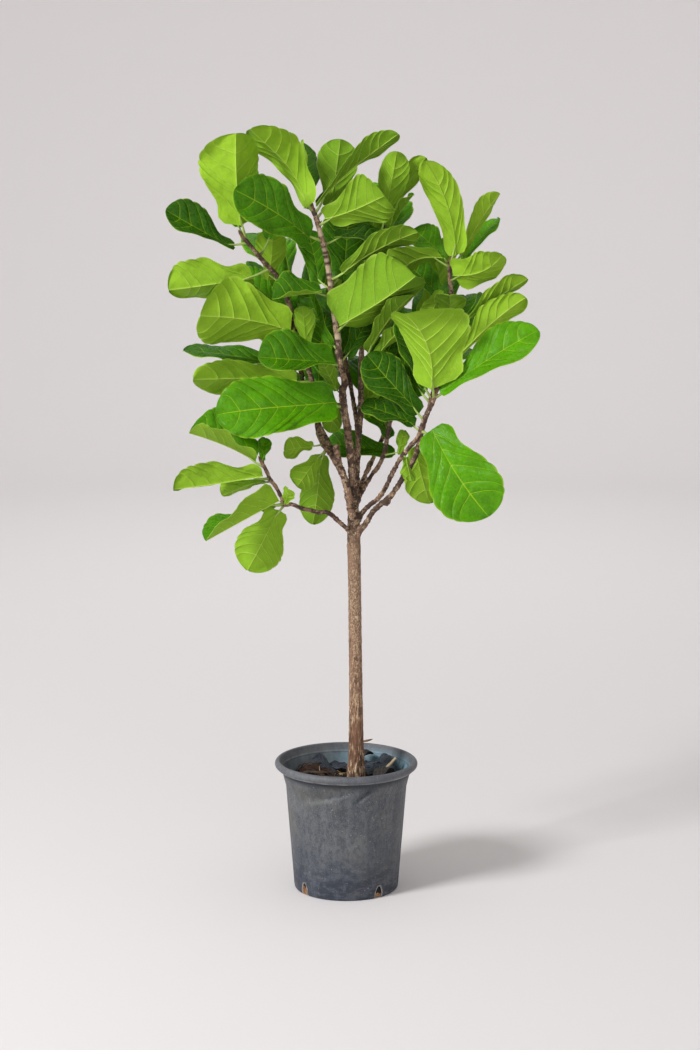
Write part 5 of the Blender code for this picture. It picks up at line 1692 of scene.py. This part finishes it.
def beside_line(x, z, start, end):
    """How far a place is from a line on the pot's front, across it and along it (0 to 1)."""
    run = np.array(end) - np.array(start)
    long = np.linalg.norm(run)
    from_start = np.stack([x - start[0], z - start[1]], -1)
    along = (from_start @ run) / long ** 2
    across = (from_start[..., 0] * run[1] - from_start[..., 1] * run[0]) / long
    return across, along


def groove(across, width):
    """A groove's form across it: 1 in its middle, fading to 0 over a width."""
    return np.exp(-(across / width) ** 2)


def pushed(angle, z):
    """How far the pot's wall is pushed out at an angle from the front, in metres."""
    x = np.sin(angle) * 0.142 + 0 * z
    z = z + 0 * x
    calm = np.clip((z - 0.012) / 0.03, 0, 1) * np.clip((WAIST_HEIGHT - z) / 0.03, 0, 1)
    out = -FLUTE_DEPTH * (0.5 + 0.5 * np.cos(angle * FLUTES)) ** 6 * calm
    out += OVAL * np.sin(2 * angle + 0.6) * np.clip(z / RIM_HEIGHT, 0, 1)
    dented = (np.cos(angle) > 0) * np.clip((z - 0.15) / 0.05, 0, 1) * np.clip((WALL_TOP - z) / 0.006, 0, 1)
    across, along = beside_line(x, z, *CREASE)
    near = np.exp(-((along - 0.45) / 0.62) ** 4)
    out -= CREASE_DEPTH * dented * near * groove(across, np.where(across < 0, CREASE_SOFT, CREASE_SHARP))
    across, along = beside_line(x, z, *FOLD)
    near = np.exp(-((along - 0.5) / 0.55) ** 4)
    beside = FOLD_RIDGE * groove(across + 0.01, 0.007)
    out += dented * near * (beside - FOLD_DEPTH * groove(across, FOLD_WIDTH))
    return out


front = np.radians(np.arange(-60, 61))
print("deepest dent at 24 cm:", round(-1000 * pushed(front, 0.24 + 0 * front).min(), 1), "mm")

# %% [markdown]
# The wall is a grid of rings, each a turn of the profile, and both skins are pushed in or out
# together. A Boolean modifier cuts the drain notches with oval bars that are half below the ground.
# Their edges are worn pale, so a mark keeps how near each point is to a notch.

# %% Pot wall
POT_STEPS = 256
INSIDE_FROM = 5         # how many rings past the lip's top the dusty inside begins


def pot_wall():
    """The pot before its notches are cut."""
    outside, inside = pot_profile()
    rows = np.array(outside + inside)[1:-1]
    angles = np.arange(POT_STEPS) * 2 * math.pi / POT_STEPS
    radius, height = rows[:, :1], rows[:, 1:]
    walled = (radius > 0.1) * 1.0
    reach = radius + walled * pushed(angles[None, :], height)
    points = np.stack([reach * np.sin(angles), -reach * np.cos(angles), height + 0 * reach], -1)
    lip = int(np.argmax(rows[:, 1]))
    within = np.clip((np.arange(len(rows)) - lip - INSIDE_FROM) / 2, 0, 1)
    body = Clay("inside", "worn")
    body.add(points, closed_quads(len(rows), POT_STEPS), 0, inside=np.repeat(within, POT_STEPS), worn=0.0)
    return body.build("nursery_pot", [PLASTIC], 40)


pot = pot_wall()
print("points of the pot's wall:", len(pot.data.vertices))

# %% Notches
BAR_SIDES = 28


def outward(degrees):
    """The ways out of the pot and sideways along its wall, at an angle from the front."""
    angle = math.radians(degrees)
    return (math.sin(angle), -math.cos(angle), 0), (math.cos(angle), math.sin(angle), 0)


def notch_bars():
    """The bars that cut the notches."""
    bars = Clay()
    for angle in NOTCH_ANGLES:
        way, side = (Vector(one) for one in outward(angle))
        ring = [side * (NOTCH_WIDTH / 2 * math.cos(a)) + Vector((0, 0, NOTCH_HEIGHT * math.sin(a)))
                for a in np.arange(BAR_SIDES) * 2 * math.pi / BAR_SIDES]
        ends = (way * (FOOT_RADIUS - 0.015), way * (FOOT_RADIUS + 0.015))
        bars.add([tuple(end + spot) for end in ends for spot in ring], closed_quads(2, BAR_SIDES))
    return bars.build("notch_knife", [PLASTIC])


def notch_wear(places):
    """How worn the pot is at places: 1 at a notch's edge, 0 away from it."""
    x, y, z = places.T
    worn = np.zeros(len(x))
    for angle in NOTCH_ANGLES:
        off = (np.arctan2(x, -y) - math.radians(angle) + math.pi) % (2 * math.pi) - math.pi
        ring = np.hypot(off * FOOT_RADIUS / (NOTCH_WIDTH / 2), z / NOTCH_HEIGHT)
        worn = np.maximum(worn, np.clip((1.09 - ring) / 0.07, 0, 1) * (np.hypot(x, y) > 0.1))
    return worn


knife = notch_bars()
cut = pot.modifiers.new("notches", "BOOLEAN")
cut.operation = "DIFFERENCE"
cut.solver = "MANIFOLD"
cut.object = knife
settle(pot)
bpy.data.objects.remove(knife)
set_mark(pot.data, "worn", notch_wear(read_places(pot.data)))
dress(pot, "pot_plastic", "pot")

# %% [markdown]
# ## Soil
# The potting mix is dark, open and crumbly, full of bark crumbs, fibres and old roots. Its colour
# is a band of colours read by a fine noise, mostly near black with few pale grains. The same noise
# is its relief, so that a pale grain also stands out.

# %% Soil material


def soil_material():
    """Dark moist potting mix."""
    mat, tree, shader = make_material("potting_mix", (0.03, 0.02, 0.014), 0.92)
    place = object_place(tree)
    grains = speckle(tree, place, 340, 8, 0.7)
    broad = speckle(tree, place, 30, 4)
    color = ramp(tree, grains, ((0.4, (0.002, 0.0022, 0.0028)), (0.58, (0.008, 0.008, 0.01)),
                                (0.7, (0.026, 0.019, 0.015)), (0.84, (0.1, 0.068, 0.044))))
    color = stain(tree, color, (0.018, 0.008, 0.005), broad, 0.5, 0.7, 0.5)
    chips = spread(tree, mark(tree, "age"), 0.6, 1.0, 0.0, 0.45)
    color = mix(tree, chips, color, (0.038, 0.026, 0.02))
    tree.links.new(color, shader.inputs["Base Color"])
    relief(tree, shader, grains, 0.003)
    return mat


SOIL = soil_material()
ROOT = green_material("dead_fibre", (0.08, 0.032, 0.014), (0.014, 0.009, 0.007), 0.85)
STRAW = green_material("straw", (0.62, 0.47, 0.24), (0.3, 0.19, 0.09), 0.75)
NOTCH_ROOT = green_material("notch_root", (0.5, 0.27, 0.13), (0.22, 0.1, 0.05), 0.8)
print("soil and root materials:", SOIL.name, ROOT.name, STRAW.name, NOTCH_ROOT.name)

# %% [markdown]
# The ball of soil fills the pot. Its top is a grid of rings lifted by a hill at the trunk, slow lumps
# and fine grains. Its side follows the pot's wall, dents too, a little way in.

# %% Soil ball
SOIL_STEPS = 192
SOIL_HEIGHT = 0.246
SOIL_HILL = 0.007
SOIL_LUMP = 0.004
SOIL_RADIUS = wall_radius(SOIL_HEIGHT) - POT_WALL - 0.0014


def soil_height(x, y):
    """The height of the soil's top at a place, without its grains."""
    hill = SOIL_HILL * math.exp(-((x - TRUNK_X) ** 2 + y * y) / 0.003)
    left = 0.004 * max(0.0, -x / 0.13)
    lumps = math.sin(71 * x + 2.0) * math.cos(63 * y + 0.7) + 0.6 * math.sin(117 * y - 59 * x)
    calm = max(0.0, 1 - (math.hypot(x, y) / SOIL_RADIUS) ** 6)
    return SOIL_HEIGHT + (hill + left + SOIL_LUMP * 0.6 * lumps) * calm


def grains(x, y):
    """The fine relief of crumbs on the soil, in metres."""
    coarse = noise.noise((x * 120, y * 120, 3.0))
    fine = noise.noise((x * 330, y * 330, 9.0))
    return 0.0024 * coarse + 0.0014 * fine


def ground(x, y, above=0.0):
    """A place on the soil's crumbly top, or so far above it."""
    return x, y, soil_height(x, y) + grains(x, y) + above


def soil_rings():
    """Rings of points up the soil's side and over its top to the middle."""
    angles = np.arange(SOIL_STEPS) * 2 * math.pi / SOIL_STEPS
    sides = [(wall_radius(0.003) - 0.009, POT_FLOOR + 0.0004)]
    sides += [(wall_radius(z) - POT_WALL - 0.0006, z) for z in (0.012, 0.08, 0.15, 0.2, WAIST_HEIGHT)]
    rings = [[(radius * math.cos(a), radius * math.sin(a), z) for a in angles] for radius, z in sides]
    for radius in np.linspace(0.001, SOIL_RADIUS, 58)[::-1]:
        rings.append([ground(radius * math.cos(a), radius * math.sin(a)) for a in angles])
    return np.array(rings)


def make_soil():
    """The ball of soil, pushed in where the pot is."""
    points = soil_rings()
    turn = np.arctan2(points[..., 0], -points[..., 1])
    radius = np.hypot(points[..., 0], points[..., 1])
    part = (radius / SOIL_RADIUS) ** 4 * (points[..., 2] > 0.1)
    points[..., :2] *= (1 + part * pushed(turn, points[..., 2]) / np.maximum(radius, 0.001))[..., None]
    body = Clay("age")
    body.add(points, closed_quads(len(points), SOIL_STEPS))
    dress(body.build("soil_ball", [SOIL], 80), "soil", "soil")


make_soil()

# %% [markdown]
# Crumbs and chips are small solids scattered on the soil, half sunk, because a bump pattern alone
# looks flat at the edge. One generator of random numbers deals out every place and size, so the
# same seed always gives the same soil.

# %% Small rough solids
SOIL_SEED = 11
BALL_RINGS = ((-1, 1, 0), (-0.45, 5, 0.89), (0.45, 5, 0.89), (1, 1, 0))    # height, corners, radius
BALL_FACES = ([(0, 1 + (k + 1) % 5, 1 + k) for k in range(5)]
              + [(1 + k, 1 + (k + 1) % 5, 6 + k) for k in range(5)]
              + [(1 + (k + 1) % 5, 6 + (k + 1) % 5, 6 + k) for k in range(5)]
              + [(6 + k, 6 + (k + 1) % 5, 11) for k in range(5)])


def lump(clay, center, sizes, turn, rng, slot):
    """A small rough solid: a twelve-cornered ball with its corners moved."""
    points = []
    for z, count, wide in BALL_RINGS:
        for k in range(count):
            a = 2 * math.pi * (k + (0.5 if z > 0 else 0)) / count
            spot = Vector((wide * math.cos(a), wide * math.sin(a), z)) * rng.uniform(0.75, 1.2)
            scaled = Vector([far * size for far, size in zip(spot, sizes)])
            points.append(tuple(Vector(center) + turn @ scaled))
    clay.add(points, [BALL_FACES], slot, age=rng.random())


def on_soil(rng, most=0.97):
    """A random place on the soil, clear of the trunk."""
    while True:
        radius = SOIL_RADIUS * most * math.sqrt(rng.random())
        angle = rng.uniform(0, 2 * math.pi)
        x, y = radius * math.cos(angle), radius * math.sin(angle)
        if math.hypot(x - TRUNK_X, y) > TRUNK_FLARE_RADIUS + 0.002:
            return x, y


print("a crumb has", len(BALL_FACES), "faces")

# %% Crumbs and chips
CRUMBS = 1500
CHIPS = 90


def crumb(clay, rng):
    """One crumb of soil."""
    x, y = on_soil(rng)
    size = 0.0006 + 0.0022 * rng.random() ** 2.5
    turn = Quaternion((rng.random(), rng.random(), rng.random(), rng.random())).normalized()
    lump(clay, ground(x, y, size * 0.3), (size, size * 0.8, size * 0.7), turn, rng, 0)


def chip(clay, rng):
    """One flat chip of bark, nearly level."""
    x, y = on_soil(rng)
    size = rng.uniform(0.003, 0.009)
    turn = Quaternion((0, 0, 1), rng.uniform(0, 6.28)) @ Quaternion((1, 0, 0), rng.uniform(-0.5, 0.5))
    slot = 0 if rng.random() < 0.5 else 1
    lump(clay, ground(x, y, 0.001), (size, size * 0.45, size * 0.18), turn, rng, slot)


soil_rng = random.Random(SOIL_SEED)
loose = Clay("age")
for _ in range(CRUMBS):
    crumb(loose, soil_rng)
for _ in range(CHIPS):
    chip(loose, soil_rng)
dress(loose.build("soil_crumbs", [SOIL, ROOT], 30), "soil")

# %% [markdown]
# Fibres and roots are thin tubes that wander over the soil. A mat of red-brown roots lies at the
# left with some straw in front of it, one pale root stands up there, and more roots show in the
# pot's notches.

# %% Fibres and roots
FIBRES = 70
MAT_ROOTS = 120
STRAWS = 12
NOTCH_ROOTS = 7
STRAW_SHARE = 0.16
FIBRE_STEPS = 6
SPIKE = ((-0.059, 0.03, 0.243), (-0.0595, 0.0315, 0.256), (-0.061, 0.033, 0.269))
SPIKE_RADII = (0.0012, 0.001, 0.0005)


def fibre(clay, start, heading, length, radius, rng, slot, lift=0.004):
    """A thin crooked fibre or root that lies on the soil."""
    path = []
    x, y = start
    for step in range(FIBRE_STEPS + 1):
        arch = lift * math.sin(math.pi * step / FIBRE_STEPS) * rng.uniform(0.5, 1)
        path.append((x, y, soil_height(x, y) + 0.0012 + arch))
        heading += rng.uniform(-0.5, 0.5)
        x += length / FIBRE_STEPS * math.cos(heading)
        y += length / FIBRE_STEPS * math.sin(heading)
        if math.hypot(x, y) > SOIL_RADIUS * 0.985:
            break
    if len(path) > 2:
        curve, radii = smooth_path(path, [radius] * len(path), length / 12)
        points, faces = tube(curve, radii, 5)
        clay.add(points, faces, slot, age=rng.random())


def lay_fibres(clay, rng):
    """Fibres all over the soil, the mat of roots and the straw in front of it."""
    for _ in range(FIBRES):
        slot = 1 if rng.random() < STRAW_SHARE else 0
        fibre(clay, on_soil(rng, 0.93), rng.uniform(0, 6.28), rng.uniform(0.012, 0.045),
              rng.uniform(0.0003, 0.0008), rng, slot)
    for _ in range(MAT_ROOTS):
        spot = (rng.uniform(-0.115, -0.045), rng.uniform(0.03, 0.095))
        fibre(clay, spot, rng.uniform(-0.7, 0.1), rng.uniform(0.02, 0.06),
              rng.uniform(0.0004, 0.0012), rng, 0, 0.006 + 0.12 * (spot[1] - 0.02))
    for _ in range(STRAWS):
        fibre(clay, (rng.uniform(-0.03, 0.0), rng.uniform(0.025, 0.045)), rng.uniform(-0.6, 0.6),
              rng.uniform(0.012, 0.026), 0.0007, rng, 1, 0.006)


def notch_root(clay, way, side, rng):
    """One root that shows in a notch."""
    foot = way * (FOOT_RADIUS - rng.uniform(0.0015, 0.006)) + side * rng.uniform(-0.007, 0.007)
    path = [foot + (0, 0, 0.0022)]
    for _ in range(3):
        path.append(path[-1] + side * rng.uniform(-0.003, 0.003) + (0, 0, 0.0062))
    curve, radii = smooth_path(path, [rng.uniform(0.0008, 0.0022)] * 4, 0.002)
    clay.add(*tube(curve, radii, 7), 2, age=rng.random() * 0.5, relief=0.0)


threads = Clay("age", "relief")
lay_fibres(threads, soil_rng)
threads.add(*tube(SPIKE, SPIKE_RADII, 8), 1, age=0.0, relief=0.0)
for angle in NOTCH_ANGLES:
    way, side = (np.array(one) for one in outward(angle))
    for _ in range(NOTCH_ROOTS):
        notch_root(threads, way, side, soil_rng)
dress(threads.build("soil_fibres", [ROOT, STRAW, NOTCH_ROOT]), "dead_wood")

# %% [markdown]
# ## Litter on the soil
# Two dead leaves, a pale twig, a dark forked twig and a surface root lie on the soil. Each stands
# in for a plain node, so it is built along the same points and let down to the same lowest point.
# Scraps of weathered, slate-coloured leaf lie between them, and one curled tip rests on the rim.

# %% What lies on the soil
# Twigs and a root: points in centimetres from the pot's axis and the soil, and the radius at each end
LITTER = {
    "twig_pale": ([(6.0, -2.5, 0), (7.2, 0.5, 0.3), (8.6, 2.4, 0.9), (10.0, 3.2, 2.0), (11.2, 3.4, 3.3)],
                  0.42, 0.3),
    "twig_dark": ([(-6.5, -3.5, 0), (-4.0, -2.0, 0.3), (-1.5, -1.8, 0.2), (0.0, -3.4, 0)], 0.34, 0.22),
    "root_surface": ([(-11.0, 1.0, 0), (-8.5, 2.6, 0.3), (-5.5, 2.2, 0.3), (-2.6, 3.6, 0)], 0.36, 0.24),
}
# Dry leaves: base and tip as above, width, arch and fold
DRY_LEAVES = {
    "dry_leaf_right": ((4.6, -9.6, 1.0), (11.2, -5.6, 3.4), 5.0, 0.16, 38),
    "dry_leaf_back": ((1.0, 7.6, 1.0), (6.2, 10.6, 3.6), 4.4, 0.14, 34),
}
SIDE_TWIG = ((-3.6, -2.0, 0.3), (-2.2, 0.4, 1.2))
# Weathered leaf scraps that the plain model leaves out, as in the table of dry leaves
SCRAPS = (
    ((3.8, 3.2, 0.5), (11.0, 4.6, 1.6), 5.4, 0.1, 10),
    ((5.4, 9.4, 0.4), (10.6, 6.2, 1.4), 4.6, 0.2, 26),
    ((2.6, 6.0, 0.5), (7.6, 8.6, 1.6), 4.6, 0.12, -14),
    ((-6.2, 6.8, 0.8), (0.6, 5.0, 0.9), 3.2, 0.12, 20),
    ((-2.4, 3.0, 0.5), (-7.4, 9.4, 2.2), 2.4, 0.16, 30),
)
print("twigs", len(LITTER), "dry leaves", len(DRY_LEAVES), "scraps", len(SCRAPS))

# %% Laying things down
dead_leaf = leaf_material("dead_leaf", (0.06, 0.048, 0.042), (0.022, 0.022, 0.026),
                          (0.12, 0.095, 0.07), 0.8, 0.6, 0.3, 0.05, 0.15)
slate_leaf = leaf_material("weathered_leaf", (0.06, 0.08, 0.11), (0.012, 0.017, 0.027),
                           (0.13, 0.16, 0.19), 0.8, 0.45, 0.4, 0.03, 0.1)
pale_wood = green_material("pale_twig", (0.6, 0.47, 0.31), (0.2, 0.15, 0.06), 0.75)
dark_wood = green_material("dead_twig", (0.085, 0.055, 0.038), (0.02, 0.015, 0.012), 0.85)


def on_top(spots):
    """Places in space of points given in centimetres from the pot's axis and the soil."""
    return [Vector(spot) * CM + Vector((0, 0, SOIL_HEIGHT)) for spot in spots]


def set_down(piece, node):
    """Bring a piece's lowest point to that of the node it stands for."""
    lowest = min(spot.co.z for spot in piece.data.vertices)
    piece.data.transform(Matrix.Translation((0, 0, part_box(node)[0].z - lowest)))


print("litter materials:", dead_leaf.name, slate_leaf.name, pale_wood.name, dark_wood.name)

# %% Twigs
TWIG_SCARS = (0.012, 0.03, 0.051)
for name, (rows, thick, thin) in LITTER.items():
    last = len(rows) - 1
    sizes = [(thick + (thin - thick) * i / last) * CM for i in range(last + 1)]
    twig = Clay("relief", "age")
    wood(twig, on_top(rows), sizes, TWIG_SCARS, 12, 0.002, 0.1)
    if name == "twig_dark":
        wood(twig, on_top(SIDE_TWIG), [thick * 0.7 * CM, thin * 0.6 * CM], (), 10, 0.002, 0.9)
    piece = twig.build(name + "_bark", [pale_wood if name == "twig_pale" else dark_wood])
    set_down(piece, name)
    dress(piece, "dead_wood", name)

# %% [markdown]
# A fallen leaf is made by the same rule as a green one, with more fold and arch, because a leaf curls
# up as it dries.

# %% Fallen leaves


def fallen_leaf(clay, row, up, shade, seed):
    """A dead leaf that lies on the soil, from its row in a table."""
    base, tip, width, arch, fold = row
    blade = Blade(*on_top((base, tip)), width * CM, 0, arch, fold, 1.0)
    blade.set_up(Vector(up))
    fine_blade(clay, blade, shade, random.Random(seed))


for name, row in DRY_LEAVES.items():
    sere = Clay("vein", "edge", "shade")
    fallen_leaf(sere, row, (-0.4, -0.2, 1), 0.5, name)
    piece = sere.build(name + "_blade", [dead_leaf, dead_leaf])
    set_down(piece, name)
    dress(piece, "dry_leaf", name)
scraps = Clay("vein", "edge", "shade")
for number, row in enumerate(SCRAPS):
    fallen_leaf(scraps, row, (-0.2, -0.3, 1), 0.3 + 0.15 * number, number)
dress(scraps.build("leaf_scraps", [slate_leaf, slate_leaf]), "dry_leaf")
curl = Clay("age", "relief")
spindle(curl, (0.036, 0.15, 0.2955), (0.97, 0.0, 0.05), 0.026, 0.0022, 0, (0.0, 0.0, 0.16))
dress(curl.build("curled_tip", [SHEATH]), "dead_wood")

# %% [markdown]
